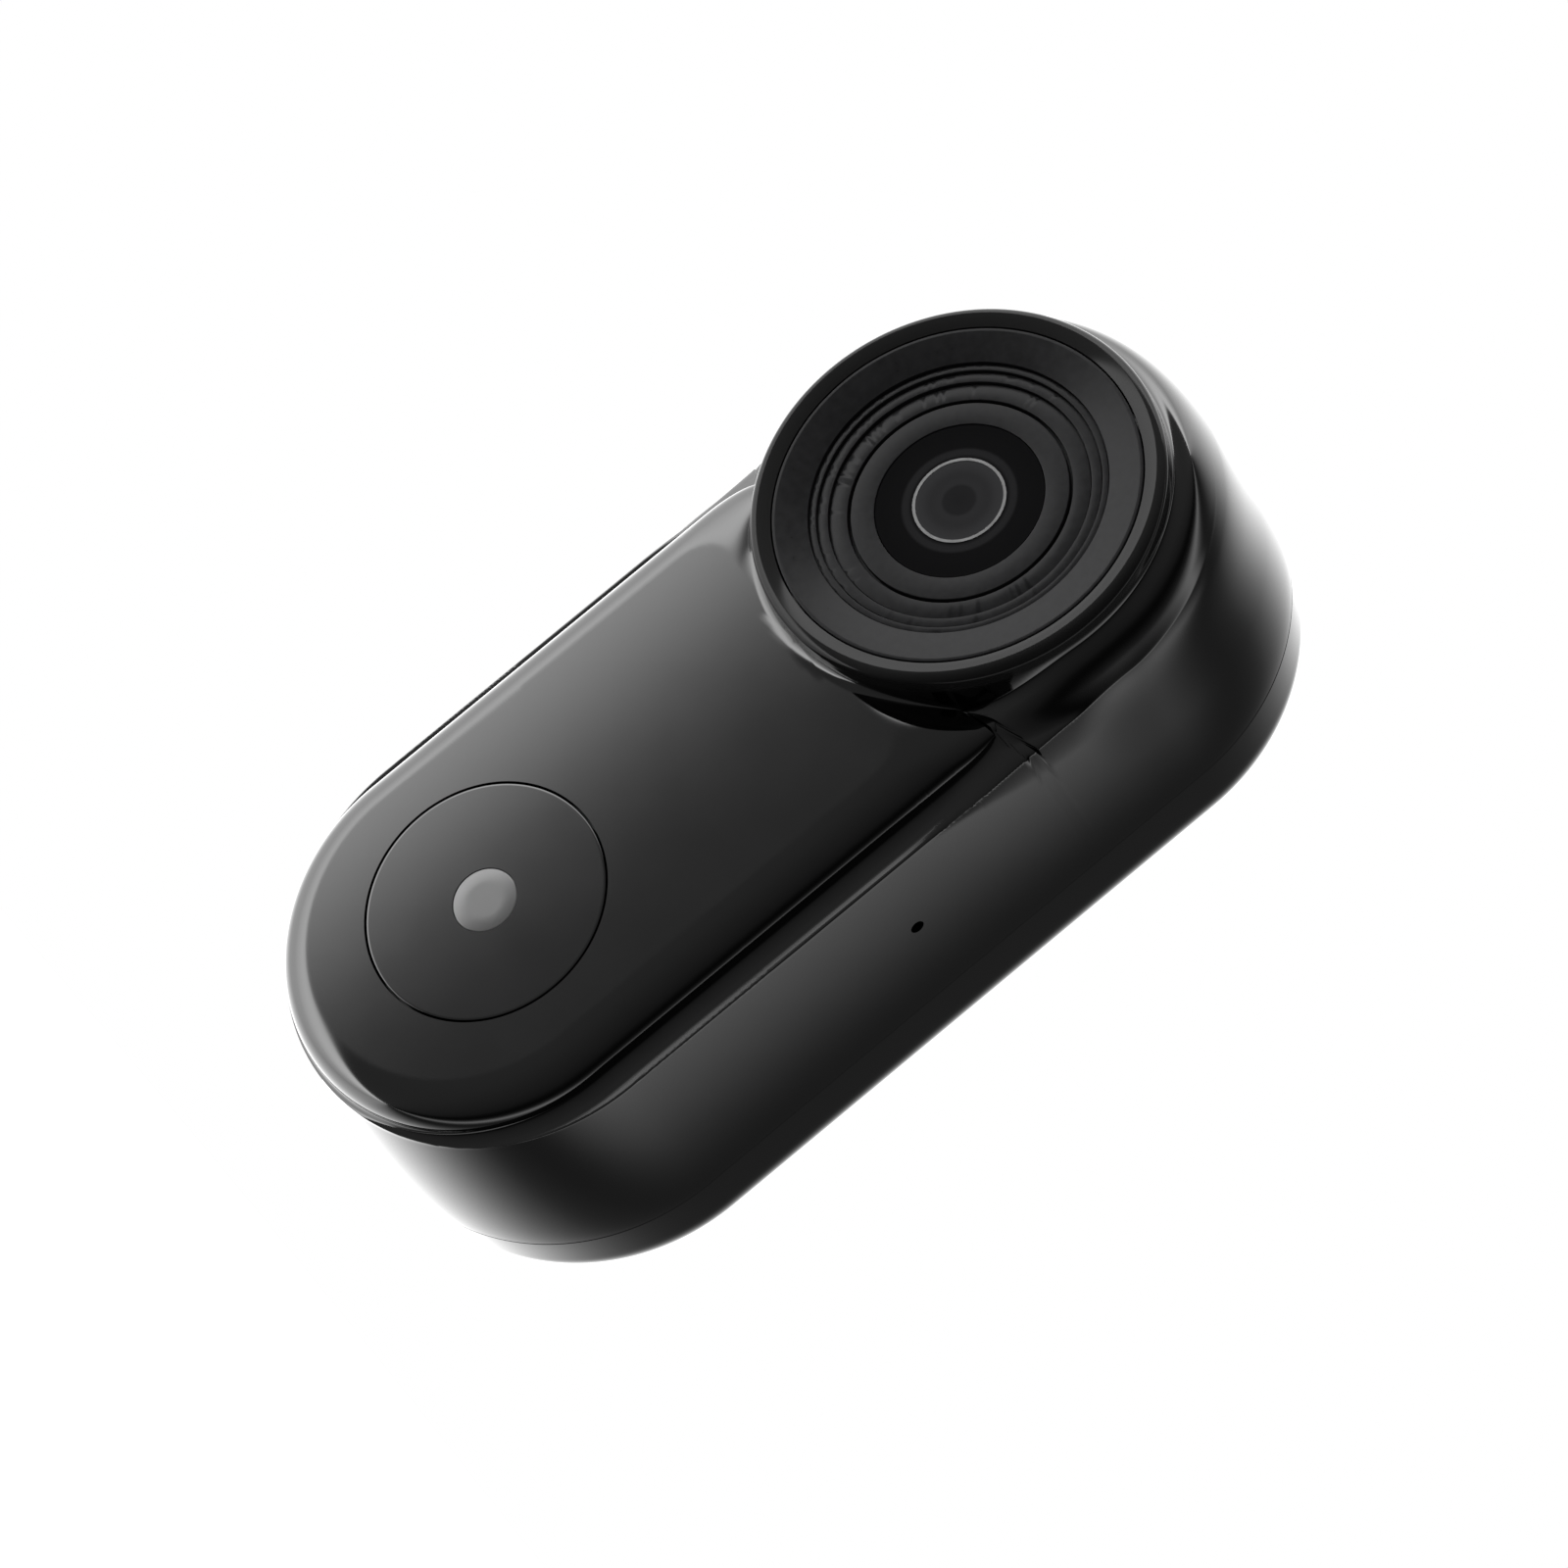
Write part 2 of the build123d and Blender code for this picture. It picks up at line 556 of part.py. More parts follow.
def mid_frame():
    """Plate under the shoulder that carries the lens holder and the switch board."""
    frame = drafted_body(WALL + FRAME_GAP, FRAME_BOTTOM, LEDGE_INSIDE_DEPTH)
    frame -= disc(FRAME_LENS_HOLE_RADIUS, FRAME_BOTTOM, LEDGE_INSIDE_DEPTH, 0, LENS_Y)
    for x, y in frame_screw_places():
        frame -= disc(FRAME_SCREW_RADIUS, FRAME_BOTTOM, LEDGE_INSIDE_DEPTH, x, y)
    for x, y in lens_screw_places():
        frame -= disc(LENS_SCREW_RADIUS, FRAME_BOTTOM, LEDGE_INSIDE_DEPTH, x, y)
    width, ends = FRAME_FLEX_SLOT
    frame -= block((-width / 2, width / 2), ends, (FRAME_BOTTOM, LEDGE_INSIDE_DEPTH))
    for side in (-1, 1):
        window = sorted(side * x for x in FRAME_WINDOW_X)
        frame -= block(window, FRAME_WINDOW_Y, (FRAME_BOTTOM, LEDGE_INSIDE_DEPTH))
    return frame


def shutter_button():
    """Round button, hollow behind, with a flange, a light-pipe boss and a nub over the dome."""
    button = disc(BUTTON_RADIUS, BUTTON_REAR_DEPTH, PILLOW_DEPTH, 0, BUTTON_Y)
    button = chamfer(front_edges(button), BUTTON_EDGE)
    button += disc(BUTTON_FLANGE_RADIUS, BUTTON_REAR_DEPTH, BUTTON_FLANGE_DEPTH, 0, BUTTON_Y)
    depths = (BUTTON_REAR_DEPTH, BUTTON_HOLLOW_DEPTH)
    button -= ring(BUTTON_HOLLOW_RADIUS, BUTTON_BOSS_RADIUS, *depths, 0, BUTTON_Y)
    button += disc(NUB_RADIUS, NUB_END_DEPTH, BUTTON_HOLLOW_DEPTH, 0, BUTTON_Y + NUB_OFFSET)
    button -= disc(WINDOW_RADIUS, WINDOW_STEP_DEPTH, PILLOW_DEPTH, 0, BUTTON_Y)
    button -= disc(WINDOW_PIPE_RADIUS, BUTTON_REAR_DEPTH, WINDOW_STEP_DEPTH, 0, BUTTON_Y)
    return button


def light_window():
    """Translucent window and light pipe in the middle of the button."""
    window = disc(WINDOW_RADIUS, WINDOW_STEP_DEPTH, PILLOW_DEPTH, 0, BUTTON_Y)
    return window + disc(WINDOW_PIPE_RADIUS, WINDOW_END_DEPTH, WINDOW_STEP_DEPTH, 0, BUTTON_Y)


def button_seal():
    """Seal ring round the button's flange."""
    return ring(SEAL_OUTER_RADIUS, SEAL_INNER_RADIUS, SEAL_BOTTOM, PILLOW_INSIDE_DEPTH, 0, BUTTON_Y)


def switch_board():
    """Round board under the button."""
    return disc(SWITCH_BOARD_RADIUS, SWITCH_BOARD_DEPTH[0], SWITCH_BOARD_DEPTH[1], 0, BUTTON_Y)


def switch_dome():
    """Thin domed contact that snaps under the button's nub."""
    radius = (DOME_RADIUS**2 + DOME_RISE**2) / (2 * DOME_RISE)
    base = SWITCH_BOARD_DEPTH[1]
    centre = Pos(0, BUTTON_Y + NUB_OFFSET, base + DOME_RISE - radius)
    cap = centre * Sphere(radius) - centre * Sphere(radius - DOME_THICKNESS)
    return cap & disc(DOME_RADIUS, base, base + 1, 0, BUTTON_Y + NUB_OFFSET)


def status_light():
    """Light under the light pipe."""
    return plate((LIGHT_SIDE, LIGHT_SIDE), LIGHT_DEPTH, 0, BUTTON_Y)


def switch_flex():
    """Ribbon from the switch board down to the main board."""
    across = (-SWITCH_RIBBON_HALF, SWITCH_RIBBON_HALF)
    top = SWITCH_BOARD_DEPTH[0] + RIBBON
    edge = SWITCH_RIBBON_Y
    upper_end, lower_end = SWITCH_RIBBON_ENDS
    ribbon = block(across, (edge, edge + RIBBON), (BOARD_DEPTH[1], top))
    ribbon += block(across, (edge, upper_end), (SWITCH_BOARD_DEPTH[0], top))
    return ribbon + block(across, (edge, lower_end), (BOARD_DEPTH[1], BOARD_DEPTH[1] + RIBBON))


def main_board():
    """Main board, cut to the body's round end."""
    board = block((-BOARD_HALF_WIDTH, BOARD_HALF_WIDTH), BOARD_ENDS, BOARD_DEPTH)
    return board & pill(INNER_HALF_WIDTH - BOARD_EDGE_GAP, BOARD_DEPTH[0], BOARD_DEPTH[1])


def on_board(size, height, x, y):
    """A chip standing on the main board."""
    return plate(size, (BOARD_DEPTH[1], BOARD_DEPTH[1] + height), x, y)


def shield_can():
    """Sheet-metal can over the processor and memory."""
    can = on_board(CAN_SIZE, CAN_DEPTH - BOARD_DEPTH[1], 0, CAN_Y)
    inside = (CAN_SIZE[0] - 2 * CAN_SHEET, CAN_SIZE[1] - 2 * CAN_SHEET)
    can = fillet(front_edges(can), CAN_SHEET)
    return can - on_board(inside, CAN_DEPTH - CAN_SHEET - BOARD_DEPTH[1], 0, CAN_Y)


def board_connectors():
    """Connectors where the flexes meet the main board."""
    depths = (BOARD_DEPTH[1], BOARD_DEPTH[1] + CONNECTOR_HEIGHT)
    return [block(across, along, depths) for across, along in (NEAR_CONNECTOR, FAR_CONNECTOR)]


def heat_spreader():
    """Thin plate that takes heat from the board to the battery side."""
    sheet = block((-SPREADER_HALF_WIDTH, SPREADER_HALF_WIDTH), SPREADER_ENDS, SPREADER_DEPTH)
    return sheet & pill(INNER_HALF_WIDTH - SPREADER_EDGE_GAP, SPREADER_DEPTH[0], SPREADER_DEPTH[1])


def thermal_pad():
    """Soft pad between the heat spreader and the main board."""
    return plate((THERMAL_PAD_SIDE, THERMAL_PAD_SIDE), (SPREADER_DEPTH[1], BOARD_DEPTH[0]), 0, CAN_Y)


def battery_cell():
    """Pouch cell behind the main board."""
    ends = (-BATTERY_HALF_WIDTH, BATTERY_HALF_WIDTH)
    cell = block(ends, BATTERY_ENDS, BATTERY_DEPTH)
    return fillet(cell.edges().filter_by(Axis.Y), BATTERY_EDGE_RADIUS)


def battery_board():
    """Protection board on the battery's end."""
    across = (-BATTERY_BOARD_HALF, BATTERY_BOARD_HALF)
    return block(across, (BATTERY_ENDS[1], BATTERY_BOARD_END), BATTERY_BOARD_DEPTH)


def battery_flex():
    """Ribbon from the battery's protection board to the main board."""
    top = BOARD_DEPTH[1] + RIBBON
    near, far = BATTERY_RIBBON_YS
    rise = block(BATTERY_RIBBON_X, (far, far + RIBBON), (BATTERY_RIBBON_LOW, top))
    return rise + block(BATTERY_RIBBON_X, (near, far + RIBBON), (BOARD_DEPTH[1], top))


def sensor_flex():
    """Ribbon from the sensor board to the underside of the main board."""
    across = (-SENSOR_RIBBON_HALF, SENSOR_RIBBON_HALF)
    near, bend, far = SENSOR_RIBBON_YS
    low, top = SENSOR_BOARD_DEPTH[0], BOARD_DEPTH[0]
    foot = block(across, (bend, far), (low - RIBBON, low))
    rise = block(across, (bend, bend + RIBBON), (low - RIBBON, top))
    return foot + rise + block(across, (near, bend + RIBBON), (top - RIBBON, top))


def foam_pad():
    """Foam between the upper magnet and the sensor's ribbon."""
    depths = (MAGNET_DEPTH[1], SENSOR_BOARD_DEPTH[0] - RIBBON)
    return plate((FOAM_SIDE, FOAM_SIDE), depths, 0, LENS_Y + FOAM_SHIFT)


def haptic_can():
    """Case of the vibration motor."""
    can = rod_along_x(MOTOR_RADIUS, MOTOR_ENDS, MOTOR_Y, MOTOR_DEPTH)
    bore = MOTOR_SHAFT_RADIUS + MOTOR_SHAFT_CLEARANCE
    return can - rod_along_x(bore, (MOTOR_ENDS[1] - MOTOR_BORE_DEPTH, MOTOR_ENDS[1]), MOTOR_Y, MOTOR_DEPTH)


def haptic_rotor():
    """Shaft with an off-centre weight."""
    inside = MOTOR_ENDS[1] - MOTOR_SHAFT_INSIDE
    shaft = rod_along_x(MOTOR_SHAFT_RADIUS, (inside, ROTOR_ENDS[1]), MOTOR_Y, MOTOR_DEPTH)
    weight = rod_along_x(ROTOR_RADIUS, ROTOR_ENDS, MOTOR_Y, MOTOR_DEPTH)
    far = MOTOR_DEPTH + ROTOR_RADIUS
    along = (MOTOR_Y - ROTOR_RADIUS, MOTOR_Y + ROTOR_RADIUS)
    weight -= block(ROTOR_ENDS, along, (MOTOR_DEPTH + ROTOR_CUT, far))
    return shaft + weight


def microphone():
    """Microphone case, with its port towards the side wall."""
    port = (sum(MIC_CASE_X) / 2, MIC_CASE_X[1])
    return around_mic(MIC_CASE_X, MIC_CASE_HALF) - rod_along_x(MIC_HOLE_RADIUS, port, MIC_Y, MIC_DEPTH)


def mic_gasket():
    """Rubber gasket between the microphone and the wall."""
    gasket = around_mic(MIC_GASKET_X, MIC_GASKET_HALF)
    return gasket - rod_along_x(MIC_HOLE_RADIUS, MIC_GASKET_X, MIC_Y, MIC_DEPTH)


def mic_mesh():
    """Mesh disc behind the microphone hole."""
    return rod_along_x(MIC_MESH_RADIUS, (MIC_PAD_X - MIC_MESH_SHEET, MIC_PAD_X), MIC_Y, MIC_DEPTH)


def mic_flex():
    """Ribbon from the microphone to the main board."""
    low = BOARD_DEPTH[1]
    back = MIC_CASE_X[0]
    along = (MIC_Y - MIC_GASKET_HALF, MIC_Y + MIC_GASKET_HALF)
    rise = block((back - RIBBON, back), along, (low, MIC_DEPTH + MIC_GASKET_HALF))
    return rise + block((MIC_RIBBON_X, back), along, (low, low + RIBBON))


def antenna():
    """Strip on the inside of the left wall."""
    return block(AERIAL_X, AERIAL_ENDS, AERIAL_DEPTH)


def magnet(ends):
    """A flat magnet behind the back cover."""
    body = block((-MAGNET_HALF_WIDTH, MAGNET_HALF_WIDTH), ends, MAGNET_DEPTH)
    return chamfer(front_edges(body), MAGNET_EDGE)


def contact_places():
    """Centres of the contact pads across the body."""
    first = -(CONTACT_PADS - 1) / 2 * CONTACT_PAD_PITCH
    return [first + i * CONTACT_PAD_PITCH for i in range(CONTACT_PADS)]


def contact_block():
    """Insulating block that fills the opening in the back, set in slightly."""
    size = (CONTACT_OPENING[0] - CONTACT_GAP, CONTACT_OPENING[1] - CONTACT_GAP)
    body = plate(size, (CONTACT_FACE_DEPTH, BACK_FLOOR), 0, CONTACT_Y)
    body = fillet(body.edges().filter_by(Axis.Z), CONTACT_OPENING[1] / 3 - CONTACT_GAP / 2)
    body += plate(CONTACT_FLANGE, (BACK_FLOOR, CONTACT_FLANGE_TOP), 0, CONTACT_Y)
    for x in contact_places():
        body -= disc(CONTACT_PAD_RADIUS, CONTACT_FACE_DEPTH, CONTACT_FLANGE_TOP, x, CONTACT_Y)
    return body


def contact_pads():
    """Charging contacts."""
    ends = (CONTACT_FACE_DEPTH - CONTACT_PAD_RISE, CONTACT_FLANGE_TOP)
    return [disc(CONTACT_PAD_RADIUS, *ends, x, CONTACT_Y) for x in contact_places()]


def contact_flex():
    """Ribbon from the contacts round the battery's side to the main board."""
    low, top = CONTACT_FLANGE_TOP, BOARD_DEPTH[0]
    along = (CONTACT_Y - CONTACT_RIBBON_HALF, CONTACT_Y + CONTACT_RIBBON_HALF)
    start, foot, side = CONTACT_RIBBON_X
    run = block((start, side), along, (low, low + RIBBON))
    rise = block((side - RIBBON, side), along, (low, top))
    return run + rise + block((foot, side), along, (top - RIBBON, top))


def nodes():
    """Every separate piece of the camera, by name."""
    return {
        "front_shell": front_shell(),
        "rear_shell": rear_shell(),
        "shell_gasket": shell_gasket(),
        "guard_thread_ring": guard_thread_ring(),
        "lens_guard_ring": lens_guard_ring(),
        "guard_retainer_ring": guard_retainer_ring(),
        "guard_glass": guard_glass(),
        "guard_window_ring": guard_window_ring(),
        "guard_seal": guard_seal(),
        "lens_barrel": lens_barrel(),
        "lens_retainer_ring": lens_retainer_ring(),
        "front_element": front_element(),
        "second_element": flat_element(SECOND_ELEMENT),
        "third_element": flat_element(THIRD_ELEMENT),
        "fourth_element": flat_element(FOURTH_ELEMENT),
        "element_spacers": element_spacers(),
        "aperture_stop": aperture_stop(),
        "lens_holder": lens_holder(),
        "lens_screws": lens_screws(),
        "infrared_filter": plate(FILTER_SIZE, FILTER_DEPTH, 0, LENS_Y),
        "image_sensor": plate(SENSOR_SIZE, SENSOR_DEPTH, 0, LENS_Y),
        "sensor_board": plate((SENSOR_BOARD_SIDE, SENSOR_BOARD_SIDE), SENSOR_BOARD_DEPTH, 0, LENS_Y),
        "sensor_flex": sensor_flex(),
        "foam_pad": foam_pad(),
        "mid_frame": mid_frame(),
        "frame_screws": frame_screws(),
        "shutter_button": shutter_button(),
        "light_window": light_window(),
        "button_seal": button_seal(),
        "switch_board": switch_board(),
        "switch_dome": switch_dome(),
        "status_light": status_light(),
        "switch_flex": switch_flex(),
        "main_board": main_board(),
        "processor": on_board(*PROCESSOR),
        "memory_chip": on_board(*MEMORY_CHIP),
        "shield_can": shield_can(),
        "power_chip": on_board(*POWER_CHIP),
        "motion_sensor": on_board(*MOTION_SENSOR),
        "wireless_module": on_board(*WIRELESS_MODULE),
        "board_connectors": board_connectors(),
        "thermal_pad": thermal_pad(),
        "heat_spreader": heat_spreader(),
        "battery_cell": battery_cell(),
        "battery_board": battery_board(),
        "battery_flex": battery_flex(),
        "haptic_can": haptic_can(),
        "haptic_rotor": haptic_rotor(),
        "microphone": microphone(),
        "mic_gasket": mic_gasket(),
        "mic_mesh": mic_mesh(),
        "mic_flex": mic_flex(),
        "antenna": antenna(),
        "upper_magnet": magnet(UPPER_MAGNET_ENDS),
        "lower_magnet": magnet(LOWER_MAGNET_ENDS),
        "contact_block": contact_block(),
        "contact_pads": contact_pads(),
        "contact_flex": contact_flex(),
    }


def main():
    """Stand each piece up and write it."""
    os.makedirs("parts", exist_ok=True)
    stand = Rot(90, 0, 0)
    for name, piece in nodes().items():
        solids = piece if isinstance(piece, list) else piece.solids()
        whole = Compound(children=[stand * solid for solid in solids])
        export_step(whole, f"parts/{name}.step")


main()
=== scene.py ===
import json
import math

import bmesh
import bpy
import numpy as np
from mathutils import Matrix, Vector


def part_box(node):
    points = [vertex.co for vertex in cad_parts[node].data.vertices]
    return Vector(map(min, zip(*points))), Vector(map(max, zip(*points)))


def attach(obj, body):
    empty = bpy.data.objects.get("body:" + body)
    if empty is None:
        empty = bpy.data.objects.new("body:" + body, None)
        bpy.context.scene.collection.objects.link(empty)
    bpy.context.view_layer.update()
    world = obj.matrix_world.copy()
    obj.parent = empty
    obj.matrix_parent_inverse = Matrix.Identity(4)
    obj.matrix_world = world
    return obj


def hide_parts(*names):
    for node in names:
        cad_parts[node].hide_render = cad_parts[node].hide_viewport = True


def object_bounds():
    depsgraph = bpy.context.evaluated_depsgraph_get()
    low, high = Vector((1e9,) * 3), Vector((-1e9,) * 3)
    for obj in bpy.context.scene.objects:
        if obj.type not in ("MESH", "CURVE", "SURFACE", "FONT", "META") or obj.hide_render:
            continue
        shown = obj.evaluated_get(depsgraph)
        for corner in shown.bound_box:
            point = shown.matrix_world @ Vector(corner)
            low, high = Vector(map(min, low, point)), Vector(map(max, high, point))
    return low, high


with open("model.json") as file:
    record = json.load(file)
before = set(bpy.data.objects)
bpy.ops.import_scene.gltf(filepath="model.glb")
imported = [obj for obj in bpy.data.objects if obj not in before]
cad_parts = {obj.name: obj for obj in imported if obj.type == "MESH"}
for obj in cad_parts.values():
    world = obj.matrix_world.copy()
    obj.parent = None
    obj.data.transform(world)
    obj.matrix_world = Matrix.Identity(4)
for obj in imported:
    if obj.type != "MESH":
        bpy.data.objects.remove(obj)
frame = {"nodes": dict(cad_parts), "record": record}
cad_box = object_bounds()
nodes = frame["nodes"]
record = frame["record"]
MM = 0.001

# ---------------------------------------------------------------- sizes read from the frame, millimetres
# Working coordinates match the CAD model: x across, y along the body, depth forward of the back plane.


def ends(node):
    """A node's low and high corner as (x, y, depth) in millimetres."""
    low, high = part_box(node)
    return (low[0] / MM, low[2] / MM, -high[1] / MM), (high[0] / MM, high[2] / MM, -low[1] / MM)


shell_low, shell_high = ends("front_shell")
button_low, button_high = ends("shutter_button")
guard_low, guard_high = ends("lens_guard_ring")
glass_low, glass_high = ends("guard_glass")
block_low, block_high = ends("contact_block")
HALF = shell_high[0]
ARC = shell_high[1] - HALF
LENS = (guard_low[1] + guard_high[1]) / 2
SEAM_FRONT = shell_low[2]
SEAM_REAR = ends("rear_shell")[1][2]
LIP_TOP = shell_high[2]
LIP_R = 9.75
BUTTON_Y = (button_low[1] + button_high[1]) / 2
BUTTON_R = 5.81
BUTTON_HOLE = 5.92
PILLOW_TOP = button_high[2]
GUARD_R = (guard_high[0] - guard_low[0]) / 2
GUARD_TOP = guard_high[2]
BORE_R = GUARD_R + 0.06
GLASS_R = (glass_high[0] - glass_low[0]) / 2
CONTACT_Y = (block_low[1] + block_high[1]) / 2


def place(x, y, depth):
    """Working millimetres to a point of the frame in metres."""
    return (x * MM, -depth * MM, y * MM)


# ---------------------------------------------------------------- meshes


def new_object(name, points, faces, sharp_angle=None):
    """A smooth-shaded mesh object from points in working millimetres."""
    mesh = bpy.data.meshes.new(name)
    mesh.from_pydata([place(*p) for p in points], [], faces)
    bm = bmesh.new()
    bm.from_mesh(mesh)
    bmesh.ops.remove_doubles(bm, verts=bm.verts, dist=2e-6)
    bmesh.ops.recalc_face_normals(bm, faces=bm.faces)
    bm.to_mesh(mesh)
    bm.free()
    obj = bpy.data.objects.new(name, mesh)
    bpy.context.scene.collection.objects.link(obj)
    mesh.polygons.foreach_set("use_smooth", [True] * len(mesh.polygons))
    if sharp_angle is not None:
        mesh.set_sharp_from_angle(angle=math.radians(sharp_angle))
    mesh.update()
    return obj


def arc(cx, cy, radius, start, end, steps):
    """Points of an arc, angles in degrees."""
    out = []
    for i in range(steps + 1):
        a = math.radians(start + (end - start) * i / steps)
        out.append((cx + radius * math.cos(a), cy + radius * math.sin(a)))
    return out


def rounded(corners, steps=6):
    """A closed outline with its corners rounded; each corner is (u, v, radius)."""
    out = []
    count = len(corners)
    for i, (u, v, radius) in enumerate(corners):
        before = corners[i - 1]
        after = corners[(i + 1) % count]
        if radius <= 0:
            out.append((u, v))
            continue
        here = Vector((u, v))
        a = Vector(before[:2]) - here
        b = Vector(after[:2]) - here
        half = a.angle(b) / 2
        reach = min(radius / math.tan(half), a.length * 0.49, b.length * 0.49)
        radius = reach * math.tan(half)
        middle = here + (a.normalized() + b.normalized()).normalized() * (radius / math.sin(half))
        first = here + a.normalized() * reach - middle
        last = here + b.normalized() * reach - middle
        turn = first.angle_signed(last)
        for k in range(steps + 1):
            c, s = math.cos(-turn * k / steps), math.sin(-turn * k / steps)
            out.append((middle.x + first.x * c - first.y * s, middle.y + first.x * s + first.y * c))
    return out


def lathe(name, profile, x=0.0, y=LENS, steps=224, sharp=30):
    """A ring turned about the depth direction from a closed (radius, depth) outline."""
    points, faces = [], []
    count = len(profile)
    for i in range(steps):
        a = 2 * math.pi * i / steps
        for radius, depth in profile:
            points.append((x + radius * math.cos(a), y + radius * math.sin(a), depth))
    for i in range(steps):
        j = (i + 1) % steps
        for k in range(count):
            m = (k + 1) % count
            faces.append((i * count + k, i * count + m, j * count + m, j * count + k))
    return new_object(name, points, faces, sharp)


def lathe_solid(name, profile, x=0.0, y=LENS, steps=224, sharp=30):
    """A solid turned from an open outline whose first and last points are on the axis."""
    points, faces = [], []
    inner = profile[1:-1]
    count = len(inner)
    for i in range(steps):
        a = 2 * math.pi * i / steps
        for radius, depth in inner:
            points.append((x + radius * math.cos(a), y + radius * math.sin(a), depth))
    first, last = len(points), len(points) + 1
    points.append((x, y, profile[0][1]))
    points.append((x, y, profile[-1][1]))
    for i in range(steps):
        j = (i + 1) % steps
        faces.append((first, i * count, j * count))
        faces.append((last, j * count + count - 1, i * count + count - 1))
        for k in range(count - 1):
            faces.append((i * count + k, i * count + k + 1, j * count + k + 1, j * count + k))
    return new_object(name, points, faces, sharp)


def outline(steps_arc=96, steps_side=72):
    """Columns round the stadium: centre of curvature and outward direction."""
    columns = []
    for i in range(steps_arc):
        a = math.pi * i / steps_arc
        columns.append((0, ARC, math.cos(a), math.sin(a)))
    for i in range(steps_side):
        columns.append((0, ARC - 2 * ARC * i / steps_side, -1, 0))
    for i in range(steps_arc):
        a = math.pi + math.pi * i / steps_arc
        columns.append((0, -ARC, math.cos(a), math.sin(a)))
    for i in range(steps_side):
        columns.append((0, -ARC + 2 * ARC * i / steps_side, 1, 0))
    return columns


def swept_band(profile, columns):
    """Points and faces of an open (inset, depth) outline swept round the stadium."""
    points, faces = [], []
    count = len(profile)
    for cx, cy, nx, ny in columns:
        for inset, depth in profile:
            points.append((cx + nx * (HALF - inset), cy + ny * (HALF - inset), depth))
    for i in range(len(columns)):
        j = (i + 1) % len(columns)
        for k in range(count - 1):
            faces.append((i * count + k, i * count + k + 1, j * count + k + 1, j * count + k))
    return points, faces


# ---------------------------------------------------------------- the front shell's surface, millimetres

WALL = 1.15
# the drafted wall: how far it leans in by its top, at the sides and at the two ends
DRAFT = 0.88
DRAFT_POWER = 1.44
LENS_END_DRAFT = 0.9
BUTTON_END_DRAFT = 0.4
WALL_TOP = 16.45
# the rim and the ledge inside it; the rim grows rounder between two distances from the lens axis
RIM_RADIUS = 0.05
RIM_GROWTH = 0.5
RIM_GROWTH_NEAR, RIM_GROWTH_FAR = 12.0, 16.5
LEDGE_TILT = 0.045
# the raised oval (the pillow) and the valley at its foot
PILLOW_HALF = 9.7
PILLOW_END = -15.5
PILLOW_SIDE_TOP = 17.1
PILLOW_EDGE = 1.75
VALLEY_WIDTH = 1.1
VALLEY_DROP = 0.7
VALLEY_RUN_OUT = 0.4
WALL_RUN_OUT = 14
# the pillow's corners by the lens, turned in round a circle about the lens axis
CORNER_R = 9.95
CORNER_BLEND = 2.6
MERGE_REACH = 2.2
MERGE_NEAR, MERGE_FAR = 0.5, 9.0
# the flare from the wall up to the lens lip
FLARE_FOOT = SEAM_FRONT
FLARE_TOP = 19.15
FLARE_ROUND, FLARE_LIFT = 2.4, 0.8
FLARE_SINK = 1.0
FLARE_SINK_FROM, FLARE_SINK_TO = 0.15, 0.42
FLARE_DIP = 0.16
FLARE_DIP_FROM, FLARE_DIP_TO = 0.1, 0.8
FLARE_BLEND = 0.9
LIP_FILLET = 0.45
CREASE_R = LIP_R + 0.02
# how softly the pillow and the wall run together, far from the lens and beside it
SOFT_FAR, SOFT_NEAR = 0.06, 1.1
SOFT_FROM, SOFT_TO = 11.0, 14.5
# the skin's mesh: columns down its right half, stretch by stretch, and rows from the outline inwards
LENS_END_COLUMNS = 84
LENS_SIDE_COLUMNS = 70
MIDDLE_COLUMNS = 56
BUTTON_SIDE_COLUMNS = 48
BUTTON_END_COLUMNS = 92
MERGE_Y, SPLIT_Y = 3.0, -6.5
SKIN_ROWS = 170
INSIDE_ROWS = 13
TURN_WEIGHT = 0.9


def smooth_max(a, b, k):
    """The larger of two heights, blended over k."""
    h = np.maximum(k - np.abs(a - b), 0.0)
    return np.maximum(a, b) + h * h / (4 * k)


def smooth_min(a, b, k):
    """The smaller of two values, blended over k."""
    return -smooth_max(-a, -b, k)


def smooth_step(x, low, high):
    """0 below low, 1 above high, smooth between."""
    t = np.clip((x - low) / (high - low), 0.0, 1.0)
    return t * t * (3 - 2 * t)


def quarter(t, power):
    """A quarter of a superellipse: 0 at t = 0 rising steeply, 1 and level at t = 1."""
    t = np.clip(t, 0.0, 1.0)
    return (1 - (1 - t) ** power) ** (1 / power)


def spine_distance(x, y, low, high):
    """Distance of a point from the body's middle line between two ends."""
    return np.hypot(x, y - np.clip(y, low, high))


def wall_share(x, y):
    """How far up the drafted wall a point lies: 0 on the seam outline, 1 at the wall's top and beyond."""
    share = np.full_like(x, 0.5)
    for _ in range(24):
        reach = spine_distance(x, y, BUTTON_END_DRAFT * share - ARC, ARC - LENS_END_DRAFT * share)
        share = 0.5 * share + 0.5 * np.clip((HALF - reach) / DRAFT, 0, 1)
    return share


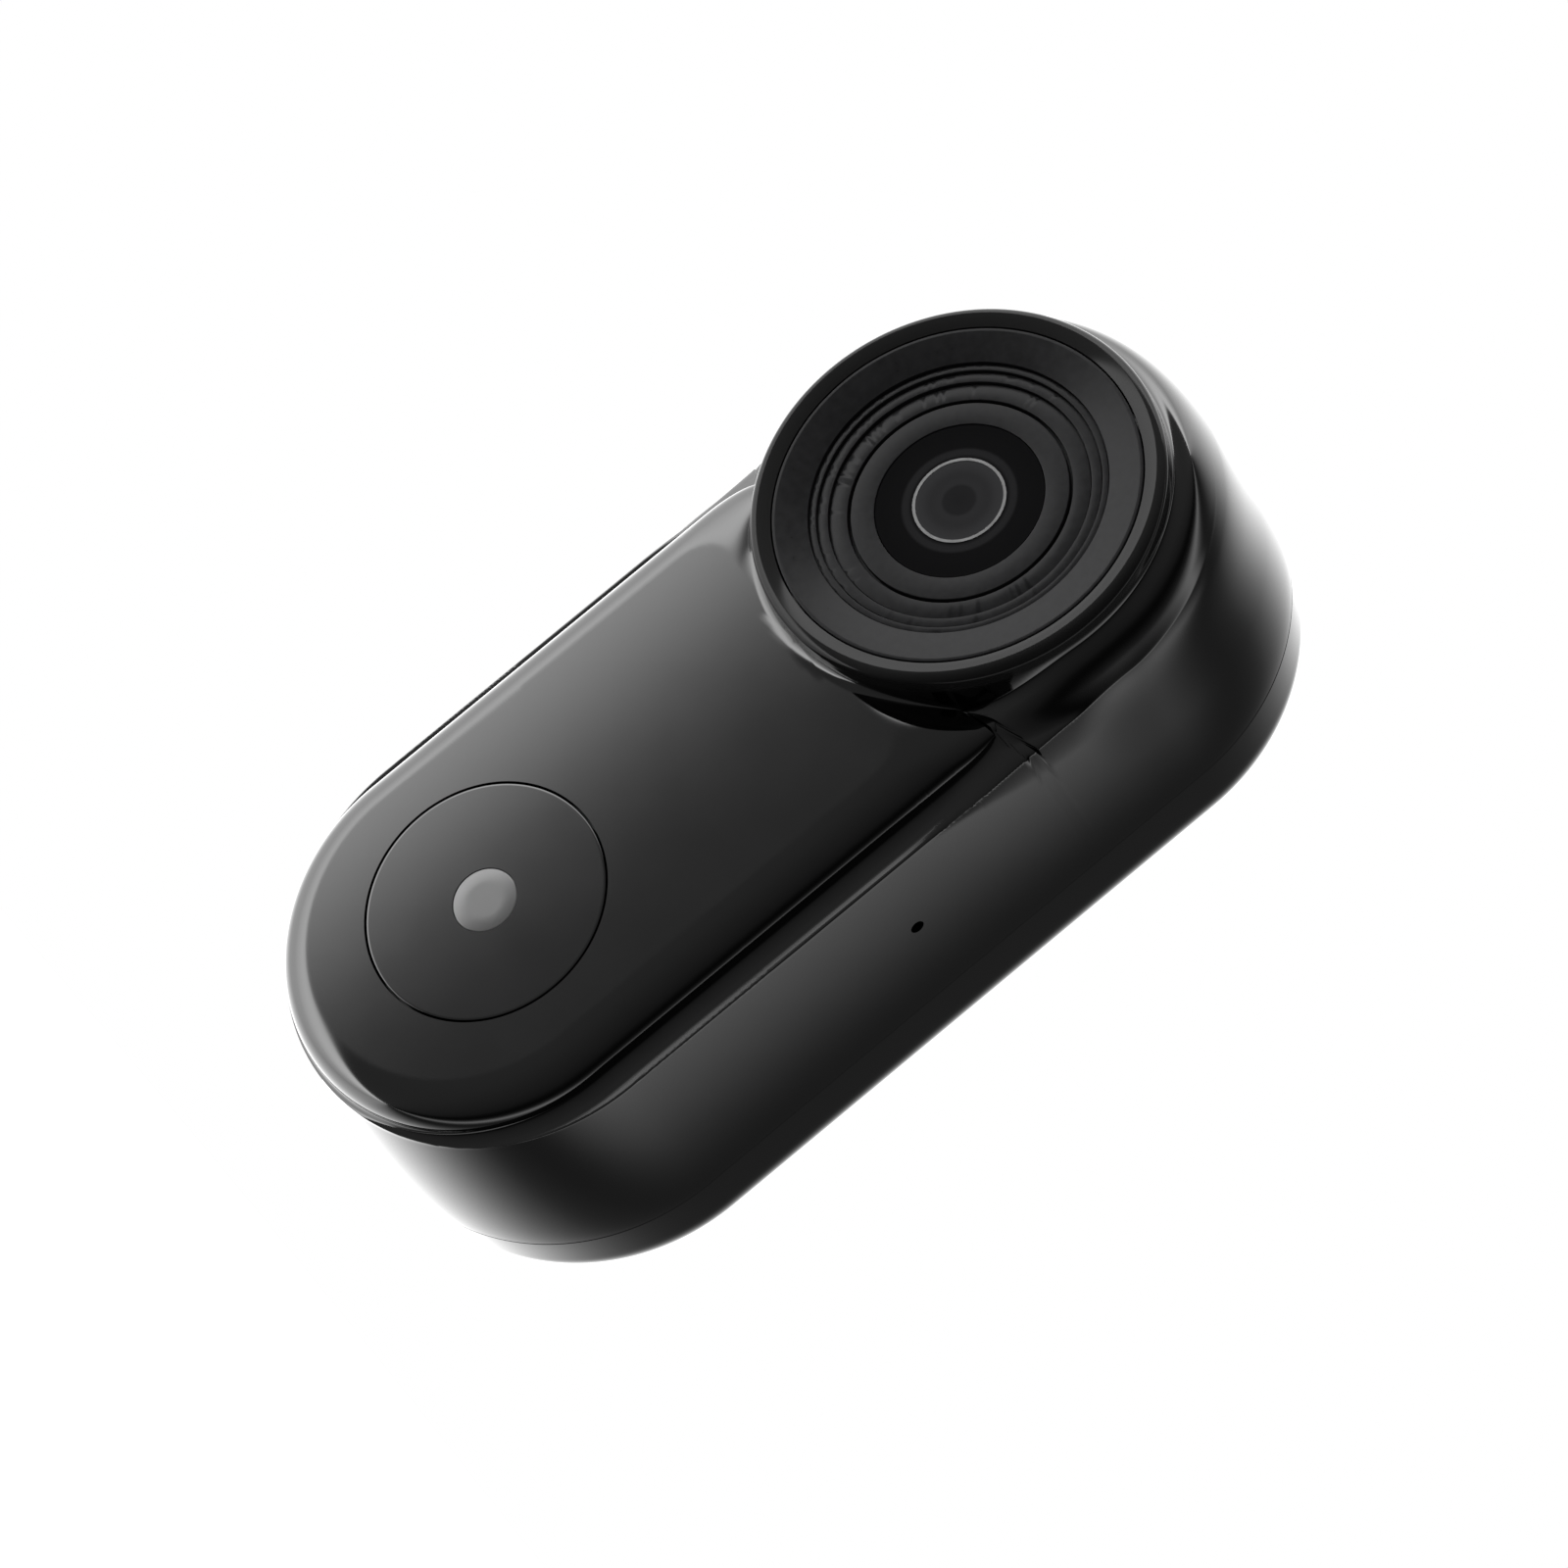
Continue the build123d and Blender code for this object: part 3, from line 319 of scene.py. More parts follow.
def body_height(x, y, share):
    """Drafted wall, rim and the narrow ledge round the pillow."""
    reach = spine_distance(x, y, BUTTON_END_DRAFT - ARC, ARC - LENS_END_DRAFT)
    past = np.maximum(HALF - DRAFT - reach, 0)
    growth = RIM_GROWTH * (1 - smooth_step(np.hypot(x, y - LENS), RIM_GROWTH_NEAR, RIM_GROWTH_FAR))
    rim = RIM_RADIUS + growth
    wall = SEAM_FRONT + (WALL_TOP - growth - SEAM_FRONT) * share ** (1 / DRAFT_POWER)
    return wall + rim * quarter(past / rim, 2) - LEDGE_TILT * np.maximum(past - rim, 0)


def pillow_height(x, y, share):
    """The raised oval: rounded edge, filleted foot, corners by the lens turned in softly."""
    r = np.hypot(x, y - LENS)
    merge = MERGE_REACH * (1 - smooth_step(np.abs(x), MERGE_NEAR, MERGE_FAR))
    from_side = PILLOW_HALF - spine_distance(x, y, PILLOW_END, LENS)
    edge = smooth_min(from_side, r - CORNER_R + merge, CORNER_BLEND)
    rounded_edge = (PILLOW_TOP - PILLOW_SIDE_TOP) * quarter(edge / PILLOW_EDGE, 2)
    foot = VALLEY_DROP * quarter(-edge / VALLEY_WIDTH, 2)
    beyond = VALLEY_RUN_OUT * np.minimum(edge + VALLEY_WIDTH, 0) - WALL_RUN_OUT * (1 - share)
    return PILLOW_SIDE_TOP + rounded_edge - foot + beyond


def flare_height(x, y, r):
    """The flare from the wall up to the lens lip, drawn between the body's outline and the lip's circle."""
    from_outline = np.maximum(HALF - spine_distance(x, y, -ARC, ARC), 0)
    from_lip = np.maximum(r - LIP_R, 0)
    share = from_outline / (from_outline + from_lip + 1e-6)
    dip = 1 - FLARE_DIP * smooth_step((LENS - y) / r, FLARE_DIP_FROM, FLARE_DIP_TO)
    rise = (1 - (1 - share) ** FLARE_ROUND) ** FLARE_LIFT * dip
    sink = FLARE_SINK * (1 - smooth_step(share, FLARE_SINK_FROM, FLARE_SINK_TO))
    return FLARE_FOOT + (FLARE_TOP - FLARE_FOOT) * rise - sink


def front_height(x, y):
    """Depth of the front surface over a point, up to the foot of the lens lip."""
    r = np.hypot(x, y - LENS)
    soft = SOFT_FAR + SOFT_NEAR * (1 - smooth_step(r, SOFT_FROM, SOFT_TO))
    share = wall_share(x, y)
    surface = smooth_max(body_height(x, y, share), pillow_height(x, y, share), soft)
    surface = smooth_max(surface, flare_height(x, y, r), FLARE_BLEND)
    up = np.clip(LIP_R + LIP_FILLET - r, 0, LIP_FILLET)
    return surface + LIP_FILLET - np.sqrt(LIP_FILLET ** 2 - up ** 2)


def front_columns():
    """Pairs of (outline point, inner point) down the right half, from the lens end to the button end."""
    pairs = []

    def add(count, outer, inner, last=False):
        for i in range(count + (1 if last else 0)):
            t = i / count
            pairs.append((outer(t), inner(t)))

    def side(t, high, low, ease):
        mixed = (1 - ease) * t + ease * math.sin(math.pi / 2 * t)
        return (HALF, high + (low - high) * mixed)

    def on_circle(cy, radius, degrees):
        a = math.radians(degrees)
        return (radius * math.cos(a), cy + radius * math.sin(a))

    def round_end(t):
        straight = ARC + BUTTON_Y
        along = (straight + HALF * math.pi / 2) * t
        if along < straight:
            return (HALF, BUTTON_Y - along)
        return on_circle(-ARC, HALF, -math.degrees((along - straight) / HALF))

    def middle_line(t):
        top, bottom = LENS - CREASE_R, BUTTON_Y + BUTTON_HOLE
        return (0.0, top + (bottom - top) * t)

    def lens_edge(start, turn):
        return lambda t: on_circle(LENS, CREASE_R, start + turn * t)

    def button_edge(start, turn):
        return lambda t: on_circle(BUTTON_Y, BUTTON_HOLE, start + turn * t)

    add(LENS_END_COLUMNS, lambda t: on_circle(ARC, HALF, 90 - 90 * t), lens_edge(90, -90))
    add(LENS_SIDE_COLUMNS, lambda t: side(t, ARC, MERGE_Y, 0.5), lens_edge(0, -90))
    add(MIDDLE_COLUMNS, lambda t: side(t, MERGE_Y, SPLIT_Y, 0), middle_line)
    add(BUTTON_SIDE_COLUMNS, lambda t: side(t, SPLIT_Y, BUTTON_Y, 0.4), button_edge(90, -90))
    add(BUTTON_END_COLUMNS, round_end, button_edge(0, -90), True)
    return pairs


def spread_rows(outer, inner):
    """Shares of the way in from the outline for each column, closer together where the surface turns."""
    share = np.linspace(0, 1, 1201) ** 1.7
    x = outer[:, 0] + (inner - outer)[:, 0] * share[:, None]
    y = outer[:, 1] + (inner - outer)[:, 1] * share[:, None]
    z = front_height(x, y)
    run = np.hypot(np.diff(x, axis=0), np.diff(y, axis=0))
    rise = np.diff(z, axis=0)
    slope = np.arctan2(rise, run)
    turn = np.abs(np.diff(slope, axis=0, prepend=slope[:1]))
    travelled = np.cumsum(np.hypot(run, rise) + TURN_WEIGHT * turn, axis=0)
    travelled = np.vstack([np.zeros(len(outer)), travelled])
    rows = []
    for column in range(len(outer)):
        steps = np.linspace(0, travelled[-1, column], SKIN_ROWS)
        rows.append(np.interp(steps, travelled[:, column], share))
    return np.array(rows).T


def skin_rows(outer, inner, shares, inset):
    """Rows of surface points, the left half mirrored from the right, a given depth under the surface."""
    xs = outer[:, 0] + (inner - outer)[:, 0] * shares
    ys = outer[:, 1] + (inner - outer)[:, 1] * shares
    xs[:, 0] = 0
    xs[:, -1] = 0
    zs = front_height(xs, ys) - inset
    left = slice(-2, 0, -1)
    both = ((xs, -xs[:, left]), (ys, ys[:, left]), (zs, zs[:, left]))
    return [np.concatenate(halves, axis=1) for halves in both]


def add_rows(points, xs, ys, zs):
    """Adds rows of points and returns the number of the first one."""
    start = len(points)
    for row in zip(xs, ys, zs):
        points.extend(zip(*[values.tolist() for values in row]))
    return start


def join_rows(faces, start, end, rows, count):
    """Closes the bands between rings that follow each other, and from the last one to the ring at end."""
    firsts = [start + k * count for k in range(rows)] + [end]
    for first, second in zip(firsts, firsts[1:]):
        for i in range(count):
            j = (i + 1) % count
            faces.append((first + i, first + j, second + j, second + i))


def bridge(faces, first, second):
    """Faces between two edges given as lists of point numbers."""
    faces += list(zip(first, first[1:], second[1:], second))


def line_hole(points, faces, outside, inside, centre_y, levels):
    """Joins an outer edge to an inner edge through rings of (radius, depth) about a hole's centre."""
    previous = outside
    for radius, depth in levels:
        current = []
        for index in outside:
            x, y = points[index][0], points[index][1] - centre_y
            length = math.hypot(x, y)
            current.append(len(points))
            points.append((x / length * radius, centre_y + y / length * radius, depth))
        bridge(faces, previous, current)
        previous = current
    bridge(faces, previous, inside)


def build_front_shell():
    """The front shell as one closed mesh: outer surface, holes, lens lip and inner surface."""
    pairs = front_columns()
    outer = np.array([p[0] for p in pairs])
    inner = np.array([p[1] for p in pairs])
    skin = skin_rows(outer, inner, spread_rows(outer, inner), 0)
    # the inner surface starts one wall in from the outline
    reach = HALF - spine_distance(inner[:, 0], inner[:, 1], -ARC, ARC)
    begin = np.minimum(WALL / reach, 0.72)
    steps = np.linspace(0, 1, INSIDE_ROWS)[:, None]
    inside = skin_rows(outer, inner, begin + (1 - begin) * steps, WALL)
    # the seam's edge between the two
    shrink_x, shrink_y = inset_points(skin[0][0], skin[1][0], 0.04)
    inside_x, inside_y, inside_z = (values[0] for values in inside)
    level = np.full(len(shrink_x), SEAM_FRONT)
    seam = ((shrink_x, inside_x, inside_x), (shrink_y, inside_y, inside_y))
    seam_depths = (level, level, (SEAM_FRONT + inside_z) / 2)

    points, faces = [], []
    count = len(shrink_x)
    skin_start = add_rows(points, *skin)
    seam_start = add_rows(points, *seam, seam_depths)
    inside_start = add_rows(points, *inside)
    skin_end = seam_start - count
    inside_end = len(points) - count
    join_rows(faces, skin_start, skin_end, SKIN_ROWS - 1, count)
    bridge(faces, *([first + i % count for i in range(count + 1)] for first in (skin_start, seam_start)))
    join_rows(faces, seam_start, inside_start, 3, count)
    join_rows(faces, inside_start, inside_end, INSIDE_ROWS - 1, count)

    lens_half = LENS_END_COLUMNS + LENS_SIDE_COLUMNS
    lens_columns = [c % count for c in range(-lens_half, lens_half + 1)]
    lip = [(LIP_R, LIP_TOP - 0.9), (LIP_R, LIP_TOP - 0.7)]
    lip += arc(LIP_R - 0.5, LIP_TOP - 0.5, 0.5, 0, 84, 14)
    lip += [(BORE_R + 0.06, GUARD_TOP + 0.02), (BORE_R + 0.01, GUARD_TOP)]
    lip += [(BORE_R, GUARD_TOP - 0.1), (BORE_R, 18.9), (8.1, 18.9), (8.1, 15.5), (9.4, 15.5)]
    edges = ([start + c for c in lens_columns] for start in (skin_end, inside_end))
    line_hole(points, faces, *edges, LENS, lip)

    button_from = lens_half + MIDDLE_COLUMNS
    button_columns = range(button_from, count - button_from + 1)
    hole = [(BUTTON_HOLE - 0.02, PILLOW_TOP - 0.1), (BUTTON_HOLE - 0.02, PILLOW_TOP - 0.7)]
    edges = ([start + c for c in button_columns] for start in (skin_end, inside_end))
    line_hole(points, faces, *edges, BUTTON_Y, hole)
    return new_object("front_shell_skin", points, faces, 38)


def inset_points(xs, ys, distance):
    """Outline points moved inwards by a distance."""
    cy = np.clip(ys, -ARC, ARC)
    nx, ny = xs, ys - cy
    length = np.hypot(nx, ny)
    return xs - nx / length * distance, ys - ny / length * distance


front_skin = build_front_shell()
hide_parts("front_shell")
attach(front_skin, "camera")


BACK_RADIUS = 3.6
REAR_WALL = 1.2


def build_rear_shell():
    """The rear cover as one closed mesh, before its contact opening is cut."""
    inside_radius = BACK_RADIUS - REAR_WALL
    profile = [(REAR_WALL, SEAM_REAR), (0.04, SEAM_REAR), (0.0, SEAM_REAR - 0.04)]
    profile += [(0.0, SEAM_REAR - 0.6), (0.0, BACK_RADIUS + 0.3)]
    profile += [(BACK_RADIUS + u, BACK_RADIUS + v) for u, v in arc(0, 0, BACK_RADIUS, 180, 270, 30)]
    profile += [(BACK_RADIUS + 0.06, 0.0)]
    inner = [(REAR_WALL, SEAM_REAR), (REAR_WALL, REAR_WALL + inside_radius)]
    for angle in np.radians(np.linspace(0, 90, 9))[1:]:
        inset = REAR_WALL + inside_radius * (1 - math.cos(angle))
        inner.append((inset, REAR_WALL + inside_radius * (1 - math.sin(angle))))
    columns = outline()
    points, faces = [], []
    for band in (profile, inner):
        base = len(points)
        more, more_faces = swept_band(band, columns)
        points += more
        faces += [tuple(base + v for v in f) for f in more_faces]
        faces.append(tuple(base + i * len(band) + len(band) - 1 for i in range(len(columns))))
    return new_object("rear_shell_skin", points, faces, 38)


def subtract(obj, bm):
    """Cuts a closed shape out of an object and keeps the shading of its smooth and sharp edges."""
    mesh = bpy.data.meshes.new("cutter")
    bm.to_mesh(mesh)
    bm.free()
    cutter = bpy.data.objects.new("cutter", mesh)
    bpy.context.scene.collection.objects.link(cutter)
    mod = obj.modifiers.new("opening", "BOOLEAN")
    mod.operation = "DIFFERENCE"
    mod.solver = "EXACT"
    mod.object = cutter
    dg = bpy.context.evaluated_depsgraph_get()
    made = bpy.data.meshes.new_from_object(obj.evaluated_get(dg))
    obj.modifiers.clear()
    obj.data = made
    bpy.data.objects.remove(cutter)
    obj.data.polygons.foreach_set("use_smooth", [True] * len(obj.data.polygons))
    obj.data.set_sharp_from_angle(angle=math.radians(38))


def ends_middle(node):
    """The middle of a node's box along the body and in depth, in millimetres."""
    low, high = ends(node)
    return (low[1] + high[1]) / 2, (low[2] + high[2]) / 2


def cut_box(obj, low, high, bevel=0.0):
    """Cuts a round-cornered upright opening through an object."""
    bm = bmesh.new()
    bmesh.ops.create_cube(bm, size=1.0)
    a, b = Vector(place(*low)), Vector(place(*high))
    size = Vector([abs(b[k] - a[k]) for k in range(3)])
    for v in bm.verts:
        v.co = Vector([(a[k] + b[k]) / 2 + v.co[k] * size[k] for k in range(3)])
    if bevel:
        upright = [e for e in bm.edges if abs((e.verts[0].co - e.verts[1].co).y) > size.y * 0.5]
        bmesh.ops.bevel(bm, geom=upright, offset=bevel * MM, segments=8, affect="EDGES", profile=0.5)
    subtract(obj, bm)


def cut_round(obj, radius, x_ends, y, depth):
    """Drills a round hole across the body through an object."""
    bm = bmesh.new()
    length = (x_ends[1] - x_ends[0]) * MM
    ends_radius = {"radius1": radius * MM, "radius2": radius * MM}
    bmesh.ops.create_cone(bm, cap_ends=True, segments=40, depth=length, **ends_radius)
    middle = Vector(place((x_ends[0] + x_ends[1]) / 2, y, depth))
    bm.transform(Matrix.Translation(middle) @ Matrix.Rotation(math.pi / 2, 4, "Y"))
    subtract(obj, bm)


MIC_HOLE_R = 0.34
MIC_HOLE_X = (9.4, 12.5)
cut_round(front_skin, MIC_HOLE_R, MIC_HOLE_X, *ends_middle("mic_mesh"))

OPENING_X, OPENING_Y, OPENING_TOP = 4.5, 1.5, 1.6
opening_low = (-OPENING_X, CONTACT_Y - OPENING_Y, -1)
opening_high = (OPENING_X, CONTACT_Y + OPENING_Y, OPENING_TOP)
rear_skin = build_rear_shell()
cut_box(rear_skin, opening_low, opening_high, 1.0)
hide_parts("rear_shell")
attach(rear_skin, "camera")

# ---------------------------------------------------------------- the shutter button, level with the pillow

BUTTON_EDGE = 0.05
WINDOW_HOLE_R = 1.58
BUTTON_FACE_RINGS = [1.62, 2.2, 3.0, 3.8, 4.5, 5.1, 5.5, 5.7]


def build_button():
    """Button cap with its flange below and the hole for the light window."""
    rows = [(radius, 0.0) for radius in [WINDOW_HOLE_R] + BUTTON_FACE_RINGS]
    for radius, height in arc(BUTTON_R - BUTTON_EDGE, 0, BUTTON_EDGE, 90, 0, 6):
        rows.append((radius, height - BUTTON_EDGE))
    rows += [(BUTTON_R, -1.3), (6.7, -1.3), (6.7, -1.9), (4.75, -1.9), (4.75, -1.1), (WINDOW_HOLE_R, -1.1)]
    profile = [(radius, PILLOW_TOP + height) for radius, height in rows]
    return lathe("shutter_button_cap", profile, 0, BUTTON_Y, 192, 38)


button = build_button()
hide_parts("shutter_button")
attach(button, "button")

window_profile = [(0, PILLOW_TOP - 0.005), (0.8, PILLOW_TOP - 0.006), (1.5, PILLOW_TOP - 0.008)]
window_profile += [(1.54, PILLOW_TOP - 0.02), (1.56, PILLOW_TOP - 0.04)]
window_profile += [(1.56, 18.05), (1.2, 18.05), (1.2, 16.75), (0, 16.75)]
window = lathe_solid("light_window_lens", window_profile, 0, BUTTON_Y, 96, 38)
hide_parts("light_window")
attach(window, "button")

# ---------------------------------------------------------------- the lens guard

STEP_DROP = 0.15
THREAD_PITCH = 0.6
THREAD_BOTTOM = 15.45
THREAD_TOP = 18.3


def guard_profile():
    """Outline of the guard: rim, inward cone, three fine steps, glass seat and screw thread."""
    points = [(GUARD_R, 18.95, 0), (GUARD_R, GUARD_TOP, 0.05), (8.51, GUARD_TOP, 0.05)]
    depth = 20.05
    for radius in (7.05, 6.70, 6.17):
        points.append((radius, depth, 0.01))
        depth -= STEP_DROP
        groove = depth - 0.12
        points += [(radius, groove, 0), (radius - 0.07, groove, 0), (radius - 0.07, depth, 0.005)]
    points += [(5.29, depth, 0.02), (5.29, 19.0, 0), (4.9, 19.0, 0), (4.9, 18.6, 0), (4.5, 18.6, 0)]
    points += [(4.5, THREAD_TOP, 0.05), (6.35, THREAD_TOP, 0), (6.35, THREAD_BOTTOM, 0.1)]
    level = THREAD_BOTTOM
    while level + THREAD_PITCH < THREAD_TOP:
        points += [(7.25, level + 0.02, 0.03), (7.4, level + 0.17, 0.03), (7.4, level + 0.32, 0.03)]
        points.append((7.25, level + 0.45, 0.03))
        level += THREAD_PITCH
    return points + [(7.4, level + 0.2, 0.03), (7.4, 18.95, 0)]


guard = lathe("lens_guard_body", rounded(guard_profile(), 4), sharp=40)
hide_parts("lens_guard_ring")
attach(guard, "lens_guard")

retainer_outline = [(4.01, 19.0, 0), (5.29, 19.0, 0), (5.29, 19.2, 0)]
retainer_outline += [(5.13, 19.2, 0.02), (5.13, 19.6, 0.04), (4.01, 19.6, 0.03)]
retainer = lathe("guard_retainer_body", rounded(retainer_outline, 4), sharp=40)
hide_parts("guard_retainer_ring")
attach(retainer, "lens_guard")

# ---------------------------------------------------------------- materials


def material(name, color, rough, metallic=0.0, **extra):
    """A procedural material: colour and roughness vary a little, with a fine bump."""
    mat = bpy.data.materials.new(name)
    mat.use_nodes = True
    tree = mat.node_tree
    shader = tree.nodes["Principled BSDF"]
    coord = tree.nodes.new("ShaderNodeTexCoord")
    noise = tree.nodes.new("ShaderNodeTexNoise")
    noise.inputs["Scale"].default_value = extra.get("scale", 900.0)
    noise.inputs["Detail"].default_value = 4.0
    tree.links.new(coord.outputs["Object"], noise.inputs["Vector"])
    ramp = tree.nodes.new("ShaderNodeValToRGB")
    low = extra.get("low", 0.85)
    high = extra.get("high", 1.15)
    ramp.color_ramp.elements[0].position = 0.3
    ramp.color_ramp.elements[1].position = 0.7
    ramp.color_ramp.elements[0].color = (*[c * low for c in color], 1)
    ramp.color_ramp.elements[1].color = (*[min(1, c * high) for c in color], 1)
    tree.links.new(noise.outputs["Fac"], ramp.inputs["Fac"])
    tree.links.new(ramp.outputs["Color"], shader.inputs["Base Color"])
    spread = extra.get("spread", 0.2)
    to_rough = tree.nodes.new("ShaderNodeMapRange")
    to_rough.inputs["To Min"].default_value = rough * (1 - spread)
    to_rough.inputs["To Max"].default_value = rough * (1 + spread)
    tree.links.new(noise.outputs["Fac"], to_rough.inputs["Value"])
    tree.links.new(to_rough.outputs["Result"], shader.inputs["Roughness"])
    shader.inputs["Metallic"].default_value = metallic
    if extra.get("bump", 0):
        fine = tree.nodes.new("ShaderNodeTexNoise")
        fine.inputs["Scale"].default_value = extra.get("bump_scale", 6000.0)
        fine.inputs["Detail"].default_value = 3.0
        tree.links.new(coord.outputs["Object"], fine.inputs["Vector"])
        bump = tree.nodes.new("ShaderNodeBump")
        bump.inputs["Strength"].default_value = 1.0
        bump.inputs["Distance"].default_value = extra["bump"] * MM
        tree.links.new(fine.outputs["Fac"], bump.inputs["Height"])
        tree.links.new(bump.outputs["Normal"], shader.inputs["Normal"])
    for key, value in extra.get("sockets", {}).items():
        shader.inputs[key].default_value = value
    return mat


NO_SHINE, LOW_SHINE = {"Specular IOR Level": 0.0}, {"Specular IOR Level": 0.06}
CLEAR = {"Transmission Weight": 0.9, "IOR": 1.5}
finishes = {
    "shell_gloss": dict(color=(0.0015, 0.0015, 0.0016), rough=0.07, scale=260, spread=0.35),
    "button_gloss": dict(color=(0.0015, 0.0015, 0.0016), rough=0.07, scale=260, spread=0.35),
    "guard_matt": dict(color=(0.011, 0.011, 0.0115), rough=0.3, scale=2500, bump=0.001, sockets=LOW_SHINE),
    "guard_flat": dict(color=(0.011, 0.011, 0.0115), rough=0.35, scale=2500, bump=0.001, sockets=LOW_SHINE),
    "light_grey": dict(color=(0.068, 0.068, 0.068), rough=0.3, scale=900, low=0.97, high=1.03),
    "window_ring": dict(color=(0.07, 0.07, 0.07), rough=0.3, metallic=0.5, scale=3000),
    "gasket_rubber": dict(color=(0.015, 0.015, 0.015), rough=0.7, bump=0.003),
    "foam_grey": dict(color=(0.06, 0.06, 0.06), rough=0.9, bump=0.02, bump_scale=3000),
    "thread_metal": dict(color=(0.03, 0.03, 0.03), rough=0.4, metallic=0.6),
    "barrel_black": dict(color=(0.02, 0.02, 0.02), rough=0.45, metallic=0.3),
    "holder_plastic": dict(color=(0.02, 0.02, 0.02), rough=0.6, bump=0.003),
    "screw_steel": dict(color=(0.5, 0.5, 0.5), rough=0.3, metallic=1.0),
    "sensor_dark": dict(color=(0.04, 0.03, 0.07), rough=0.15),
    "board_green": dict(color=(0.01, 0.1, 0.05), rough=0.35, scale=1800, low=0.6, high=1.5),
    "flex_amber": dict(color=(0.4, 0.17, 0.02), rough=0.3, scale=1500),
    "frame_metal": dict(color=(0.45, 0.45, 0.46), rough=0.45, metallic=0.9, bump=0.004),
    "dome_steel": dict(color=(0.6, 0.58, 0.5), rough=0.2, metallic=1.0),
    "light_white": dict(color=(0.8, 0.8, 0.72), rough=0.4),
    "chip_black": dict(color=(0.02, 0.02, 0.022), rough=0.5, bump=0.003),
    "can_metal": dict(color=(0.55, 0.55, 0.56), rough=0.32, metallic=1.0),
    "connector_plastic": dict(color=(0.7, 0.66, 0.52), rough=0.5),
    "pad_blue": dict(color=(0.2, 0.28, 0.42), rough=0.8),
    "spreader_copper": dict(color=(0.7, 0.33, 0.18), rough=0.3, metallic=1.0),
    "battery_foil": dict(color=(0.5, 0.5, 0.52), rough=0.38, metallic=0.8, bump=0.02, bump_scale=900),
    "motor_steel": dict(color=(0.55, 0.55, 0.53), rough=0.3, metallic=1.0),
    "weight_metal": dict(color=(0.3, 0.3, 0.32), rough=0.45, metallic=1.0),
    "mic_metal": dict(color=(0.6, 0.5, 0.3), rough=0.35, metallic=1.0),
    "magnet_nickel": dict(color=(0.65, 0.65, 0.64), rough=0.18, metallic=1.0),
    "contact_black": dict(color=(0.015, 0.015, 0.015), rough=0.5, bump=0.003),
    "contact_gold": dict(color=(0.8, 0.52, 0.18), rough=0.25, metallic=1.0),
    "lens_glass": dict(color=(0.05, 0.05, 0.07), rough=0.03, sockets=CLEAR),
    "filter_glass": dict(color=(0.3, 0.5, 0.5), rough=0.05, sockets=CLEAR),
    "guard_clear": dict(color=(0.006, 0.006, 0.0065), rough=0.12, scale=2500, sockets=NO_SHINE),
}
materials = {}
for slot_name, settings in finishes.items():
    settings = dict(settings)
    color = settings.pop("color")
    rough = settings.pop("rough")
    materials[slot_name] = material(slot_name, color, rough, **settings)

# the guard's clear disc: black glass with the lens behind it painted onto its surface by radius; its dim
# rings and inner tone are painted reflections and its dark pupil is painted shade
PAINTED_LENS_REFLECTIONS_AND_SHADE = [(0.0, 0.011), (0.7, 0.012), (0.9, 0.019), (1.3, 0.018), (1.9, 0.024), (2.02, 0.026),
               (2.25, 0.006), (2.45, 0.013), (2.62, 0.013), (2.8, 0.005), (3.85, 0.0045)]


def rings_by_radius(mat, stops, full):
    """Colours a round disc by the distance from its middle, in millimetres."""
    tree = mat.node_tree
    coord = tree.nodes.new("ShaderNodeTexCoord")
    middle = tree.nodes.new("ShaderNodeVectorMath")
    middle.operation = "SUBTRACT"
    middle.inputs[1].default_value = (0.5, 0.5, 0.5)
    tree.links.new(coord.outputs["Generated"], middle.inputs[0])
    flat = tree.nodes.new("ShaderNodeVectorMath")
    flat.operation = "MULTIPLY"
    flat.inputs[1].default_value = (2.0, 0.0, 2.0)
    tree.links.new(middle.outputs["Vector"], flat.inputs[0])
    length = tree.nodes.new("ShaderNodeVectorMath")
    length.operation = "LENGTH"
    tree.links.new(flat.outputs["Vector"], length.inputs[0])
    ramp = tree.nodes.new("ShaderNodeValToRGB")
    ramp.color_ramp.interpolation = "EASE"
    marks = ramp.color_ramp.elements
    while len(marks) < len(stops):
        marks.new(0.5)
    for mark, (radius, value) in zip(marks, stops):
        mark.position = radius / full
        mark.color = (value, value, value * 1.04, 1)
    tree.links.new(length.outputs["Value"], ramp.inputs["Fac"])
    tree.links.new(ramp.outputs["Color"], tree.nodes["Principled BSDF"].inputs["Base Color"])


LIP_MATT_FROM, LIP_MATT_TO = 19.45, 19.75


def matt_towards_front(mat, stops):
    """Ramps a finish along the body's depth: (shade, specular level) below and above the lens lip's foot."""
    tree = mat.node_tree
    shader = tree.nodes["Principled BSDF"]
    coord = tree.nodes.new("ShaderNodeTexCoord")
    parts = tree.nodes.new("ShaderNodeSeparateXYZ")
    tree.links.new(coord.outputs["Object"], parts.inputs["Vector"])
    depth = tree.nodes.new("ShaderNodeMapRange")
    depth.interpolation_type = "SMOOTHSTEP"
    depth.inputs["From Min"].default_value = -LIP_MATT_FROM * MM
    depth.inputs["From Max"].default_value = -LIP_MATT_TO * MM
    tree.links.new(parts.outputs["Y"], depth.inputs["Value"])
    for socket, (below, above) in stops.items():
        ramp = tree.nodes.new("ShaderNodeValToRGB")
        for mark, value in zip(ramp.color_ramp.elements, (below, above)):
            mark.color = (value, value, value, 1)
        tree.links.new(depth.outputs["Result"], ramp.inputs["Fac"])
        tree.links.new(ramp.outputs["Color"], shader.inputs[socket])


lip_finish = {"Base Color": (0.0015, 0.012), "Specular IOR Level": (0.5, 0.08)}
matt_towards_front(materials["shell_gloss"], lip_finish)
# paints the lens behind the guard glass onto the glass: painted reflections in the rings, painted shade in
# the pupil
rings_by_radius(materials["guard_clear"], PAINTED_LENS_REFLECTIONS_AND_SHADE, GLASS_R)

